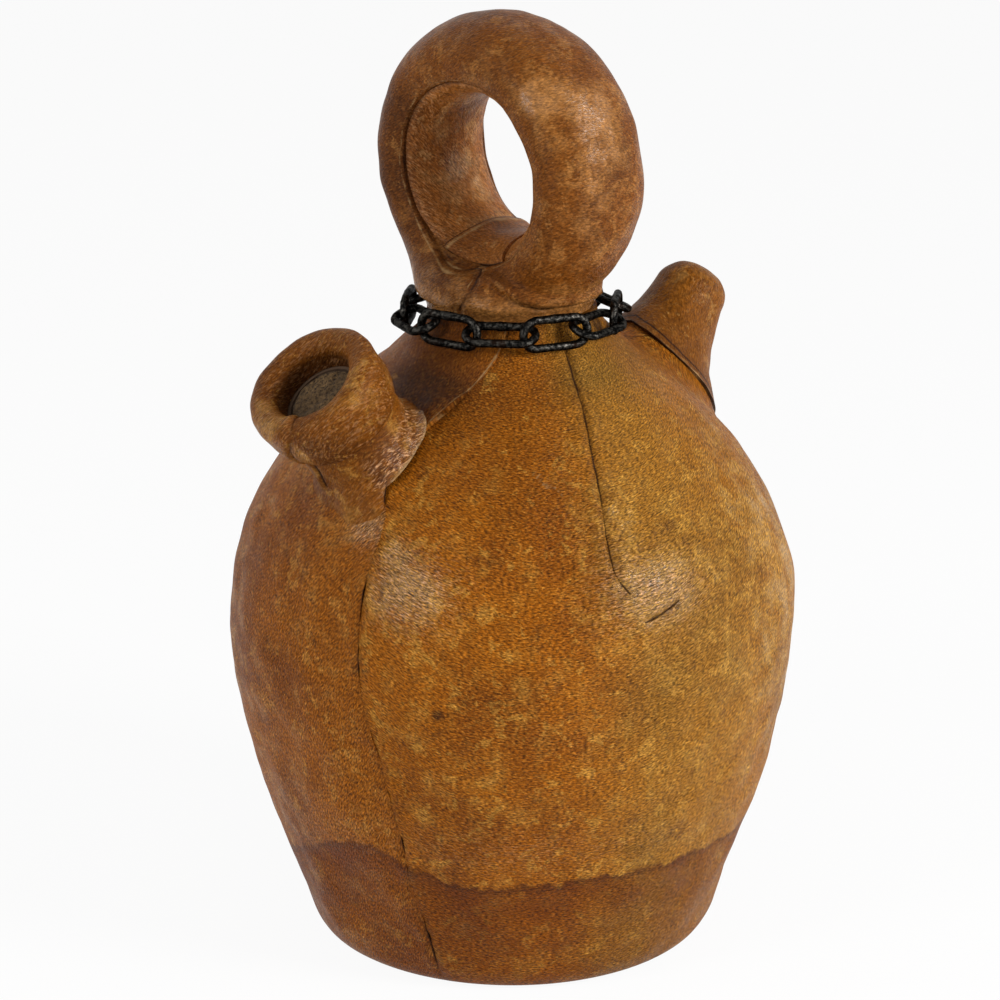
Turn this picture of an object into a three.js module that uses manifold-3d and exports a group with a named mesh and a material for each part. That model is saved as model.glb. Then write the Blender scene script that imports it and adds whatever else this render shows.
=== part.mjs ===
// Leather-covered earthenware water flask: an egg-shaped clay body with a ring
// handle, a filling mouth closed by a cork, a drinking spout, a sewn leather
// cover over all of it and a loop of iron chain round the neck.
// Millimetres, +Z up. The origin is the middle of the base, on the ground.
// The mouth leans to -X, the spout to +X, and the ring stands in the YZ plane.

import * as THREE from 'three';
import { mergeVertices } from 'three/addons/utils/BufferGeometryUtils.js';
import Module from 'manifold-3d';

const wasm = await Module();
wasm.setup();

const degrees = THREE.MathUtils.degToRad;

// Walls and clearances
const leatherThickness = 2;
const clayThickness = 7;
const seamGap = 0.3;

// Body, measured outside the leather, from the ground up
const baseRadius = 64;
const footRadius = 74.2;
const footHeight = 10;
const footFlare = degrees(16.5);
const footFullness = 30;
const bellyRadius = 99.6;
const bellyHeight = 116;
const bellyFullnessBelow = 40;
const bellyFullnessAbove = 52.5;
const shoulderRadius = 40;
const shoulderHeight = 213.6;
const shoulderSlope = degrees(45);
const shoulderFullness = 41;
const neckHeight = 13.4;
const neckFullness = 5;
const waistRadius = 29.6;

// Leather panels of the body
const mouthSideSeam = degrees(198);
const spoutSideSeam = degrees(337);
const frontDart = degrees(248);
const backDart = degrees(106);
const dartLength = 77;

// Ring handle, measured outside the leather
const ringRadius = 38.3;
const ringThickness = 27.4;
const ringWidth = 43.4;
const ringLift = 49.4;
const ringOffset = 2;
const ringLean = degrees(4.5);
const ringSeamRadius = 31.4;
const saddleHalfAngle = degrees(26);
const stemRadius = 32.4;
const stemBulgeHeight = 6.5;
const stemTopRadius = 17;
const stemTopHeight = 16;
const neckSeamLean = degrees(33);

// Depth to which the roots of mouth and spout run below the shoulder
const rootDepth = 10;

// Filling mouth, measured outside the leather along its own axis
const mouthPlace = 68;
const mouthElevation = degrees(50);
const mouthRootRadius = 20.5;
const mouthNeckRadius = 18.5;
const mouthNeckHeight = 14;
const lipBandHeight = 22;
const mouthLipRadius = 23.8;
const mouthLength = 39.7;
const lipThickness = 10;
const lipTurnIn = 6;
const mouthBoreRadius = 13;

// Drinking spout, measured outside the leather along its own axis
const spoutPlace = 68;
const spoutElevation = degrees(51);
const spoutRootRadius = 29;
const spoutTipRadius = 13.2;
const spoutLength = 45.5;
const spoutTipRounding = 9.5;
const spoutHoleRadius = 3;
const spoutBoreRadius = 8.5;

// Cork stopper
const corkLength = 26;
const corkTaper = 1.7;
const corkEdge = 0.8;
const corkRecess = 10;

// Chain collar
const linkCount = 12;
const linkWire = 2.9;
const linkWidth = 12.6;
const linkPlay = 1.2;
const flatLinkTilt = degrees(22);
const chainPhase = degrees(9.6);
const chainClearance = 0.5;

// Roundness of the facets
const bodyFacets = 32;
const ringFacets = 24;
const ringSectionFacets = 12;
const collarFacets = 20;
const linkEndSteps = 5;
const linkSides = 6;

// Reach of a cut past the piece it goes through
const cutReach = 60;

// Levels below the outside of the leather
const leatherInside = -leatherThickness;
const clayOutside = leatherInside - seamGap;
const clayInside = clayOutside - clayThickness;

const waistHeight = shoulderHeight + neckHeight;
const ringHeight = waistHeight + ringLift;

// Solids from geometry, and geometry from solids

const weldDistance = 1e-4;

function solidOf(geometry) {
  const bare = geometry.clone();
  bare.deleteAttribute('normal');
  bare.deleteAttribute('uv');
  const welded = mergeVertices(bare, weldDistance);
  const corners = welded.index.array;
  const triangles = [];
  for (let i = 0; i < corners.length; i += 3) {
    const [a, b, c] = corners.slice(i, i + 3);
    if (a !== b && b !== c && c !== a) triangles.push(a, b, c);
  }
  return new wasm.Manifold(new wasm.Mesh({
    numProp: 3,
    vertProperties: Float32Array.from(welded.attributes.position.array),
    triVerts: Uint32Array.from(triangles),
  }));
}

function geometryOf(solid) {
  const mesh = solid.getMesh();
  const geometry = new THREE.BufferGeometry();
  geometry.setAttribute('position', new THREE.BufferAttribute(mesh.vertProperties, 3));
  geometry.setIndex(new THREE.BufferAttribute(mesh.triVerts, 1));
  geometry.computeVertexNormals();
  return geometry;
}

// Shapes about the Z axis of a frame, placed by that frame's matrix

const bodyFrame = new THREE.Matrix4();

function revolved(points, facets, frame) {
  const geometry = new THREE.LatheGeometry(points, facets);
  return solidOf(geometry.rotateX(Math.PI / 2).applyMatrix4(frame));
}

function cylinder(radius, low, high, facets, frame) {
  const points = [[0, low], [radius, low], [radius, high], [0, high]];
  return revolved(points.map(([r, z]) => new THREE.Vector2(r, z)), facets, frame);
}

function sector(start, end, radius, low, high, frame) {
  const outline = new THREE.Shape();
  outline.moveTo(0, 0);
  outline.lineTo(radius * Math.cos(start), radius * Math.sin(start));
  outline.absarc(0, 0, radius, start, end);
  const geometry = new THREE.ExtrudeGeometry(outline, { depth: high - low, bevelEnabled: false });
  return solidOf(geometry.translate(0, 0, low).applyMatrix4(frame));
}

function seamCut(angle, radius, low, high, frame, lean = 0) {
  const geometry = new THREE.BoxGeometry(radius, seamGap, high - low);
  geometry.rotateX(lean);
  geometry.translate(radius / 2, 0, (low + high) / 2);
  return solidOf(geometry.rotateZ(angle).applyMatrix4(frame));
}

// Points of a run of curves, moved out along their normals by a distance.
// The curves run upwards on the outside of a profile, so out is to the right.
function offsetPoints(curves, steps, distance) {
  const points = [];
  curves.forEach((curve, k) => {
    for (let i = k === 0 ? 0 : 1; i <= steps[k]; i++) {
      const point = curve.getPoint(i / steps[k]);
      const along = curve.getTangent(i / steps[k]);
      points.push(new THREE.Vector2(point.x + along.y * distance, point.y - along.x * distance));
    }
  });
  return points;
}

function bezier(...ends) {
  return new THREE.CubicBezierCurve(...ends.map(([r, z]) => new THREE.Vector2(r, z)));
}

// Body of revolution

const footEdge = new THREE.QuadraticBezierCurve(
  new THREE.Vector2(baseRadius, 0),
  new THREE.Vector2(footRadius - footHeight * Math.tan(footFlare), 0),
  new THREE.Vector2(footRadius, footHeight),
);
const side = bezier(
  [footRadius, footHeight],
  [footRadius + footFullness * Math.sin(footFlare), footHeight + footFullness * Math.cos(footFlare)],
  [bellyRadius, bellyHeight - bellyFullnessBelow],
  [bellyRadius, bellyHeight],
);
const shoulder = bezier(
  [bellyRadius, bellyHeight],
  [bellyRadius, bellyHeight + bellyFullnessAbove],
  [
    shoulderRadius + shoulderFullness * Math.sin(shoulderSlope),
    shoulderHeight - shoulderFullness * Math.cos(shoulderSlope),
  ],
  [shoulderRadius, shoulderHeight],
);
const neck = bezier(
  [shoulderRadius, shoulderHeight],
  [
    shoulderRadius - neckFullness * Math.sin(shoulderSlope),
    shoulderHeight + neckFullness * Math.cos(shoulderSlope),
  ],
  [waistRadius, waistHeight - neckFullness],
  [waistRadius, waistHeight],
);
const footSteps = 3;
const sideSteps = 4;
const shoulderSteps = 6;
const neckSteps = 3;

function bodySolid(level) {
  const wall = offsetPoints(
    [footEdge, side, shoulder, neck],
    [footSteps, sideSteps, shoulderSteps, neckSteps],
    level,
  );
  const floor = new THREE.Vector2(0, wall[0].y);
  const top = new THREE.Vector2(0, waistHeight);
  return revolved([floor, ...wall, top], bodyFacets, bodyFrame);
}

// The hollow has a flat floor and is closed below the neck
function waterSpace() {
  const wall = offsetPoints([side, shoulder], [sideSteps, shoulderSteps], clayInside);
  const floorHeight = -clayInside;
  const last = wall[wall.length - 1];
  const ends = [
    new THREE.Vector2(0, floorHeight),
    new THREE.Vector2(wall[0].x, floorHeight),
  ];
  return revolved([...ends, ...wall, new THREE.Vector2(0, last.y)], bodyFacets, bodyFrame);
}

// The place on the shoulder with a given radius, seen from one side
function shoulderPoint(radius) {
  const halvings = 40;
  let low = 0;
  let high = 1;
  for (let i = 0; i < halvings; i++) {
    const middle = (low + high) / 2;
    if (shoulder.getPoint(middle).x > radius) low = middle;
    else high = middle;
  }
  return shoulder.getPoint(low);
}

// Mouth and spout stand on the shoulder, each in a frame along its own axis

function collarFrame(place, elevation, direction) {
  const root = shoulderPoint(place);
  const axis = new THREE.Vector3(direction * Math.cos(elevation), 0, Math.sin(elevation));
  const turn = new THREE.Quaternion().setFromUnitVectors(new THREE.Vector3(0, 0, 1), axis);
  const frame = new THREE.Matrix4().makeRotationFromQuaternion(turn);
  return frame.setPosition(direction * place, 0, root.y);
}

const mouthFrame = collarFrame(mouthPlace, mouthElevation, -1);
const spoutFrame = collarFrame(spoutPlace, spoutElevation, 1);

const lipRounding = lipThickness / 2;
const lipHeight = mouthLength - lipRounding;
const lipInside = mouthLipRadius - lipThickness;
const lipFoot = mouthLength - lipBandHeight;
const lipSwell = (mouthLipRadius - mouthNeckRadius) / 2;
const mouthWall = bezier(
  [mouthRootRadius, -rootDepth],
  [mouthNeckRadius, 0],
  [mouthNeckRadius, mouthNeckHeight],
  [mouthNeckRadius, lipFoot],
);
const mouthBand = bezier(
  [mouthNeckRadius, lipFoot],
  [mouthNeckRadius + lipSwell, lipFoot],
  [mouthLipRadius, lipHeight - lipRounding],
  [mouthLipRadius, lipHeight],
);
const mouthLip = new THREE.EllipseCurve(
  mouthLipRadius - lipRounding, lipHeight, lipRounding, lipRounding, 0, Math.PI,
);
const mouthTurnIn = new THREE.LineCurve(
  new THREE.Vector2(lipInside, lipHeight),
  new THREE.Vector2(lipInside, lipHeight - lipTurnIn),
);
const mouthSteps = [2, 2, 4, 1];

function mouthPoints(level) {
  return offsetPoints([mouthWall, mouthBand, mouthLip, mouthTurnIn], mouthSteps, level);
}

const tipHeight = spoutLength - spoutTipRounding;
const spoutWall = bezier(
  [spoutRootRadius, -rootDepth],
  [spoutRootRadius - (spoutRootRadius - spoutTipRadius) / 2, rootDepth],
  [spoutTipRadius, tipHeight - rootDepth],
  [spoutTipRadius, tipHeight],
);
const spoutTip = new THREE.EllipseCurve(
  spoutTipRadius - spoutTipRounding, tipHeight, spoutTipRounding, spoutTipRounding, 0, Math.PI / 2,
);
const spoutSteps = [3, 3];

function spoutPoints(level) {
  return offsetPoints([spoutWall, spoutTip], spoutSteps, level);
}

// A collar without its bore, down past the shoulder's skin
function collarCore(points, frame) {
  const foot = new THREE.Vector2(0, points[0].y);
  const top = new THREE.Vector2(0, points[points.length - 1].y);
  return revolved([foot, ...points, top], collarFacets, frame);
}

function collarSkin(pointsAt, frame) {
  const section = [...pointsAt(0), ...pointsAt(leatherInside).reverse()];
  const skin = revolved([...section, section[0]], collarFacets, frame);
  return skin.subtract(bodySolid(seamGap));
}

function clayCollar(section, frame) {
  const collar = revolved([...section, section[0]], collarFacets, frame);
  return collar.subtract(bodySolid(clayOutside + seamGap));
}

function clayMouth() {
  const outer = mouthPoints(clayOutside);
  const rebate = outer[outer.length - 1].y - seamGap;
  outer[outer.length - 1].y = rebate;
  const bore = [
    new THREE.Vector2(mouthBoreRadius, rebate),
    new THREE.Vector2(mouthBoreRadius, outer[0].y),
  ];
  return clayCollar([...outer, ...bore], mouthFrame);
}

function claySpout() {
  const outer = spoutPoints(clayOutside);
  const tip = outer[outer.length - 1];
  const bore = [
    new THREE.Vector2(spoutHoleRadius, tip.y),
    new THREE.Vector2(spoutHoleRadius, tip.y - spoutTipRounding),
    new THREE.Vector2(spoutBoreRadius, 0),
    new THREE.Vector2(spoutBoreRadius, outer[0].y),
  ];
  return clayCollar([...outer, ...bore], spoutFrame);
}

function clayBody() {
  const boreReach = rootDepth + 2 * clayThickness;
  const mouthBore = cylinder(mouthBoreRadius, -boreReach, boreReach, collarFacets, mouthFrame);
  const spoutBore = cylinder(spoutBoreRadius, -boreReach, boreReach, collarFacets, spoutFrame);
  const shell = bodySolid(clayOutside).subtract(waterSpace());
  return shell.subtract(mouthBore).subtract(spoutBore);
}

// Ring handle: an oval section swept round the X axis, on a stem over the neck

// The ring's own frame: its Z is the ring's axis and its X points down to the stem.
// The ring stands and leans a little towards the mouth.
const ringFrame = new THREE.Matrix4().makeBasis(
  new THREE.Vector3(0, 0, -1),
  new THREE.Vector3(0, 1, 0),
  new THREE.Vector3(1, 0, 0),
);
ringFrame.premultiply(new THREE.Matrix4().makeRotationY(-ringLean));
ringFrame.setPosition(-ringOffset, 0, ringHeight);

const stemFlare = bezier(
  [waistRadius, waistHeight],
  [waistRadius, waistHeight + stemBulgeHeight / 2],
  [stemRadius, waistHeight + stemBulgeHeight / 2],
  [stemRadius, waistHeight + stemBulgeHeight],
);
const stemTop = bezier(
  [stemRadius, waistHeight + stemBulgeHeight],
  [stemRadius, waistHeight + (stemBulgeHeight + stemTopHeight) / 2],
  [stemRadius, waistHeight + stemTopHeight],
  [stemTopRadius, waistHeight + stemTopHeight],
);
const stemSteps = [2, 3];

function handleSolid(level) {
  const section = new THREE.EllipseCurve(
    ringRadius, 0, ringThickness / 2 + level, ringWidth / 2 + level, 0, 2 * Math.PI,
  );
  const ring = revolved(section.getPoints(ringSectionFacets), ringFacets, ringFrame);
  const wall = offsetPoints([stemFlare, stemTop], stemSteps, level);
  const foot = new THREE.Vector2(0, waistHeight);
  const top = new THREE.Vector2(0, wall[wall.length - 1].y);
  const post = revolved([foot, ...wall, top], bodyFacets, bodyFrame);
  const belowNeck = cylinder(cutReach, 0, waistHeight + seamGap, bodyFacets, bodyFrame);
  return ring.add(post).subtract(belowNeck);
}

function handleSkin() {
  return handleSolid(0).subtract(handleSolid(leatherInside));
}

// The bore of the ring is lined inside the two seams that run round its rims
function ringBore(radius) {
  return cylinder(radius, -cutReach, cutReach, ringFacets, ringFrame);
}

function handleCover() {
  const halfTurn = Math.PI;
  const seamLow = waistHeight - ringWidth;
  const seamHigh = ringHeight - ringSeamRadius + ringThickness / 2;
  const mouthSide = seamCut(halfTurn, cutReach, seamLow, seamHigh, bodyFrame, neckSeamLean);
  const spoutSide = seamCut(0, cutReach, seamLow, seamHigh, bodyFrame, neckSeamLean);
  const wrap = handleSkin().subtract(ringBore(ringSeamRadius + seamGap / 2));
  return wrap.subtract(mouthSide).subtract(spoutSide);
}

function liningSeams() {
  const reach = ringRadius + ringThickness;
  const one = seamCut(saddleHalfAngle, reach, -cutReach, cutReach, ringFrame);
  const other = seamCut(-saddleHalfAngle, reach, -cutReach, cutReach, ringFrame);
  return one.add(other);
}

function ringLining() {
  return handleSkin().intersect(ringBore(ringSeamRadius - seamGap / 2)).subtract(liningSeams());
}

function saddleSector() {
  const reach = ringRadius + ringThickness;
  return sector(-saddleHalfAngle, saddleHalfAngle, reach, -cutReach, cutReach, ringFrame);
}

// Leather of the body: a round sole under the base and two panels from there to the neck

function bodySkin() {
  return bodySolid(0).subtract(bodySolid(leatherInside));
}

function baseSole() {
  return cylinder(baseRadius, 0, leatherThickness, bodyFacets, bodyFrame);
}

function panel(start, end, dart) {
  const reach = bellyRadius + cutReach;
  const top = waistHeight + cutReach;
  const piece = bodySkin().intersect(sector(start, end, reach, -cutReach, top, bodyFrame));
  const sole = cylinder(baseRadius + seamGap, -cutReach, leatherThickness + seamGap, bodyFacets, bodyFrame);
  const oneSeam = seamCut(start, reach, -cutReach, top, bodyFrame);
  const otherSeam = seamCut(end, reach, -cutReach, top, bodyFrame);
  const slit = seamCut(dart, reach, waistHeight - dartLength, top, bodyFrame);
  const mouthHole = collarCore(mouthPoints(leatherInside), mouthFrame);
  const spoutHole = collarCore(spoutPoints(leatherInside), spoutFrame);
  const shaped = piece.subtract(sole).subtract(slit).subtract(mouthHole).subtract(spoutHole);
  return shaped.subtract(oneSeam).subtract(otherSeam);
}

// Cork, tapered, pushed into the bore until its top is below the lip
function corkStopper() {
  const topRadius = mouthBoreRadius - seamGap;
  const top = mouthLength - corkRecess;
  const bottom = top - corkLength;
  const points = [
    [0, bottom],
    [topRadius - corkTaper - corkEdge, bottom],
    [topRadius - corkTaper, bottom + corkEdge],
    [topRadius, top - corkEdge],
    [topRadius - corkEdge, top],
    [0, top],
  ];
  return revolved(points.map(([r, z]) => new THREE.Vector2(r, z)), collarFacets, mouthFrame);
}

// Chain: links upright and flat by turns, each through the next, in a loop that
// rests on the shoulder. The link's length follows from the loop.

const wireRadius = linkWire / 2;
const barOffset = linkWidth / 2 - wireRadius;
const chainRadius = waistRadius + chainClearance + wireRadius + barOffset * Math.cos(flatLinkTilt);
const halfStep = Math.PI / linkCount;
const crownSpacing = linkWire + linkPlay;
const crownReach = chainRadius * Math.tan(halfStep) + crownSpacing / 2 / Math.cos(halfStep);

// Height at which the lower bars of the upright links just clear the shoulder and neck
function chainHeight() {
  const slopeSteps = [60, 30];
  const slope = offsetPoints([shoulder, neck], slopeSteps, 0);
  const clear = wireRadius + chainClearance;
  const under = slope.filter((point) => Math.abs(point.x - chainRadius) < clear);
  const lifts = under.map((point) => point.y + Math.sqrt(clear ** 2 - (point.x - chainRadius) ** 2));
  return Math.max(...lifts) + barOffset;
}

function linkGeometry() {
  const centres = [];
  for (const end of [0, Math.PI]) {
    for (let i = 0; i <= linkEndSteps; i++) {
      const angle = end - Math.PI / 2 + Math.PI * i / linkEndSteps;
      const middle = (crownReach - barOffset) * Math.cos(end);
      centres.push({ middle, out: new THREE.Vector3(Math.cos(angle), Math.sin(angle), 0) });
    }
  }
  const positions = [];
  const corners = [];
  centres.forEach(({ middle, out }, i) => {
    for (let j = 0; j < linkSides; j++) {
      const turn = 2 * Math.PI * j / linkSides;
      const radius = barOffset + wireRadius * Math.cos(turn);
      positions.push(middle + out.x * radius, out.y * radius, wireRadius * Math.sin(turn));
      const nextRing = (i + 1) % centres.length * linkSides;
      const thisRing = i * linkSides;
      const k = (j + 1) % linkSides;
      corners.push(thisRing + j, nextRing + j, nextRing + k);
      corners.push(thisRing + j, nextRing + k, thisRing + k);
    }
  });
  const geometry = new THREE.BufferGeometry();
  geometry.setAttribute('position', new THREE.Float32BufferAttribute(positions, 3));
  geometry.setIndex(corners);
  geometry.computeVertexNormals();
  return geometry;
}

// The assembly

const flask = new THREE.Group();

function addPiece(name, solid, { color, roughness, metalness = 0 }) {
  const material = new THREE.MeshStandardMaterial({ color, roughness, metalness });
  const mesh = new THREE.Mesh(geometryOf(solid), material);
  mesh.name = name;
  flask.add(mesh);
}

const clay = { color: '#b5714a', roughness: 0.9 };
const tanLeather = { color: '#9a5f25', roughness: 0.5 };
const soleLeather = { color: '#743c1c', roughness: 0.7 };
const redLeather = { color: '#8a4a20', roughness: 0.5 };
const cork = { color: '#6a6146', roughness: 0.95 };

addPiece('clay_body', clayBody(), clay);
addPiece('clay_handle', handleSolid(clayOutside), clay);
addPiece('clay_mouth', clayMouth(), clay);
addPiece('clay_spout', claySpout(), clay);
addPiece('base_sole', baseSole(), soleLeather);
addPiece('front_panel', panel(mouthSideSeam, spoutSideSeam, frontDart), tanLeather);
addPiece('back_panel', panel(spoutSideSeam, mouthSideSeam + 2 * Math.PI, backDart), tanLeather);
addPiece('mouth_sleeve', collarSkin(mouthPoints, mouthFrame), redLeather);
addPiece('spout_sleeve', collarSkin(spoutPoints, spoutFrame), tanLeather);
addPiece('handle_cover', handleCover(), tanLeather);
addPiece('handle_lining', ringLining().subtract(saddleSector()), tanLeather);
addPiece('handle_saddle', ringLining().intersect(saddleSector()), tanLeather);
addPiece('cork_stopper', corkStopper(), cork);

const chain = new THREE.Group();
chain.position.z = chainHeight();
flask.add(chain);
const oneLink = linkGeometry();
for (let i = 0; i < linkCount; i++) {
  const arm = new THREE.Group();
  arm.rotation.z = chainPhase + 2 * halfStep * i;
  const iron = new THREE.MeshStandardMaterial({ color: '#1b1a19', roughness: 0.55, metalness: 0.8 });
  const link = new THREE.Mesh(oneLink, iron);
  link.name = `chain_link_${String(i + 1).padStart(2, '0')}`;
  link.position.x = chainRadius;
  link.rotation.order = 'YXZ';
  link.rotation.z = Math.PI / 2;
  link.rotation.y = i % 2 === 0 ? Math.PI / 2 : flatLinkTilt;
  arm.add(link);
  chain.add(arm);
}

export default flask;
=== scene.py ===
import math

import bmesh
import bpy
import numpy as np
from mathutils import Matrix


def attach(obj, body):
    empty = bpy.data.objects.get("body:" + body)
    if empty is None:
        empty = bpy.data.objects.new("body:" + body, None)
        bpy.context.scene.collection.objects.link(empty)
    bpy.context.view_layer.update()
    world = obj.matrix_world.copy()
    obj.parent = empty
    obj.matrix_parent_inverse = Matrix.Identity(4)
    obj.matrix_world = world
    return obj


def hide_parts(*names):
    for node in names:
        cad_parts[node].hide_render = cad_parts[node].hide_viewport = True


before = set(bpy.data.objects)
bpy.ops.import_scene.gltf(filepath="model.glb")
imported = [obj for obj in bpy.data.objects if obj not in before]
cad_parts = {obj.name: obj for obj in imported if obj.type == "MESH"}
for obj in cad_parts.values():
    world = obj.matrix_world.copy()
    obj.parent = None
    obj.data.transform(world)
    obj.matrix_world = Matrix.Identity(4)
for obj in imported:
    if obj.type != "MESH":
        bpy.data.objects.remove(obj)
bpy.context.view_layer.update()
scene = bpy.context.scene
scene.view_settings.view_transform = "Standard"


# Camera
# A long lens a little over a metre away and half a metre up, turned so that the mouth
# comes forward on the left and the spout goes back on the right.

camera_turn, camera_pitch = math.radians(-44.3), math.radians(17.3)
camera_away, camera_height = 1.070, 0.489
camera_data = bpy.data.cameras.new("photo_camera")
camera_data.sensor_width = 36.0
camera_data.lens = 114.59
camera_data.shift_x = -0.012
camera = bpy.data.objects.new("photo_camera", camera_data)
camera.location = (camera_away * math.sin(camera_turn), -camera_away * math.cos(camera_turn), camera_height)
camera.rotation_euler = (math.pi / 2 - camera_pitch, 0.0, camera_turn)
scene.collection.objects.link(camera)
scene.camera = camera


# Clay jug
# The jug under the leather: body, ring handle, mouth and spout, thrown and joined in
# unglazed earthenware. Only its bore shows, when the cork is out.

def linear(hex_colour):
    channels = [int(hex_colour[i:i + 2], 16) / 255 for i in (1, 3, 5)]
    return tuple(c / 12.92 if c <= 0.04045 else ((c + 0.055) / 1.055) ** 2.4 for c in channels) + (1.0,)


def add_node(tree, kind, inputs=None, give=0, **settings):
    node = tree.nodes.new(kind)
    for name, value in settings.items():
        setattr(node, name, value)
    for key, value in (inputs or {}).items():
        if isinstance(value, bpy.types.NodeSocket):
            tree.links.new(value, node.inputs[key])
        else:
            node.inputs[key].default_value = value
    return node.outputs if give is None else node.outputs[give]


def new_material(name):
    material = bpy.data.materials.new(name)
    material.use_nodes = True
    material.node_tree.nodes.clear()
    return material, material.node_tree


# a dye, dirt, wear, painted light or painted shade laid over a colour, from least to most while a value goes
# from low to high
def laid_over(tree, colour, laid_colour, value, low, high, least, most, soft=True, times=None):
    share = add_node(tree, "ShaderNodeMapRange", {"Value": value, 1: low, 2: high, 3: least, 4: most},
                     interpolation_type="SMOOTHSTEP" if soft else "LINEAR")
    if times is not None:
        share = add_node(tree, "ShaderNodeMath", {0: share, 1: times}, operation="MULTIPLY", use_clamp=True)
    return add_node(tree, "ShaderNodeMix", {0: share, 6: colour, 7: linear(laid_colour)}, give=2, data_type="RGBA")


# Unglazed earthenware: matt, porous and pink buff, with fine sand in it and faint
# rings from the throwing, 4 mm apart; darker within 18 to 30 mm of the lip of the bore.
bore_lip = (-0.0866, 0.0, 0.2091)
earthenware, tree = new_material("unglazed_earthenware")
place = add_node(tree, "ShaderNodeTexCoord", give="Object")
sand = add_node(tree, "ShaderNodeTexNoise", {"Vector": place, "Scale": 1 / 0.0009, "Detail": 3.0}, give="Fac")
cloud = add_node(tree, "ShaderNodeTexNoise", {"Vector": place, "Scale": 1 / 0.022, "Detail": 4.0}, give="Fac")
rings = add_node(tree, "ShaderNodeTexWave", {"Vector": place, "Scale": 0.314 / 0.004, "Distortion": 1.5},
                 give="Fac", bands_direction="Z")
colour = laid_over(tree, linear("#a8714e"), "#c49a75", cloud, 0.0, 1.0, 0.0, 1.0, soft=False)
grit = add_node(tree, "ShaderNodeMapRange", {"Value": sand, 1: 0.3, 2: 0.7, 3: 0.78, 4: 1.12})
colour = add_node(tree, "ShaderNodeHueSaturation", {"Value": grit, "Color": colour})
from_lip = add_node(tree, "ShaderNodeVectorMath", {0: place, 1: bore_lip}, give="Value", operation="DISTANCE")
colour = laid_over(tree, colour, "#2e2417", from_lip, 0.018, 0.030, 0.85, 0.0, soft=False)
relief = add_node(tree, "ShaderNodeMath", {0: rings, 1: sand}, operation="ADD")
relief = add_node(tree, "ShaderNodeBump", {"Height": relief, "Strength": 0.5, "Distance": 0.0003})
fired = add_node(tree, "ShaderNodeBsdfPrincipled", {"Base Color": colour, "Roughness": 0.9, "Normal": relief})
add_node(tree, "ShaderNodeOutputMaterial", {"Surface": fired}, give=None)

for name in ("clay_body", "clay_handle", "clay_mouth", "clay_spout"):
    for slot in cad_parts[name].material_slots:
        slot.material = earthenware


# Front panel
# The hide over the front of the body, from the side seam by the mouth to the seam by
# the spout and from the base to the neck. Wetted, drawn over the clay and taken in at
# the shoulder by one long sewn dart, at whose foot the spare hide puckers.

def bezier(ends, count):
    t = np.linspace(0, 1, count)[:, None]
    a, b, c, d = (np.array(end, float) for end in ends)
    return a * (1 - t) ** 3 + 3 * b * t * (1 - t) ** 2 + 3 * c * t ** 2 * (1 - t) + d * t ** 3


# Side view of the leather in mm, radius and height, from the base to the neck
base_radius, foot_radius, foot_height = 64, 74.2, 10
belly_radius, belly_height = 99.6, 116
shoulder_radius, shoulder_height = 40, 213.6
neck_radius, neck_height = 29.6, 227
foot_lean, shoulder_lean = math.radians(16.5), math.radians(45)
foot_knee = foot_radius - foot_height * math.tan(foot_lean)
outline = np.concatenate([
    bezier([(base_radius, 0), (base_radius + (foot_knee - base_radius) / 1.5, 0),
            (foot_radius + (foot_knee - foot_radius) / 1.5, foot_height / 3),
            (foot_radius, foot_height)], 60),
    bezier([(foot_radius, foot_height),
            (foot_radius + 30 * math.sin(foot_lean), foot_height + 30 * math.cos(foot_lean)),
            (belly_radius, 76), (belly_radius, belly_height)], 300)[1:],
    bezier([(belly_radius, belly_height), (belly_radius, 168.5),
            (shoulder_radius + 41 * math.sin(shoulder_lean), shoulder_height - 41 * math.cos(shoulder_lean)),
            (shoulder_radius, shoulder_height)], 300)[1:],
    bezier([(shoulder_radius, shoulder_height),
            (shoulder_radius - 5 * math.sin(shoulder_lean), shoulder_height + 5 * math.cos(shoulder_lean)),
            (neck_radius, 222), (neck_radius, neck_height)], 60)[1:],
])
above_belly = outline[360:]
outline_length = np.concatenate([[0], np.cumsum(np.hypot(*np.diff(outline, axis=0).T))])
outline_tangent = np.gradient(outline, outline_length, axis=0)
outline_tangent /= np.hypot(*outline_tangent.T)[:, None]
neck_length = outline_length[-1]


def length_at(height):
    return np.interp(height, outline[:, 1], outline_length)


# the spot at a length up the outline and a turn round the body, and the way out there
def on_body(length, turn):
    radius, height = (np.interp(length, outline_length, outline[:, i]) for i in (0, 1))
    out = np.interp(length, outline_length, outline_tangent[:, 1])
    up = -np.interp(length, outline_length, outline_tangent[:, 0])
    size = np.hypot(out, up)
    spot = np.stack([radius * np.cos(turn), radius * np.sin(turn), height], -1)
    normal = np.stack([out * np.cos(turn), out * np.sin(turn), up], -1) / size[..., None]
    return spot, normal


# a smooth seam through points of height and turn
def seam_line(points):
    heights, turns = np.array(points, float).T
    fine = np.linspace(0, neck_length, 600)
    spread_out = np.exp(-0.5 * ((fine[:, None] - fine) / 3.5) ** 2)
    smooth = spread_out @ np.interp(fine, length_at(heights), turns) / spread_out.sum(1)
    return lambda length: np.radians(np.interp(length, fine, smooth))


# uneven swellings about size mm long
def ripple(points, size, seed):
    waves = np.random.default_rng(seed)
    total = np.zeros(points.shape[:-1])
    for _ in range(14):
        direction = waves.normal(size=3)
        direction *= 2 * math.pi / (size * waves.uniform(0.7, 1.5) * np.linalg.norm(direction))
        total += np.sin(points @ direction + waves.uniform(0, 2 * math.pi))
    return total / math.sqrt(7)


def bell(distance, width):
    return np.exp(-(distance / width) ** 2)


def ramp(value, low, high):
    t = np.clip((value - low) / (high - low), 0, 1)
    return t * t * (3 - 2 * t)
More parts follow.
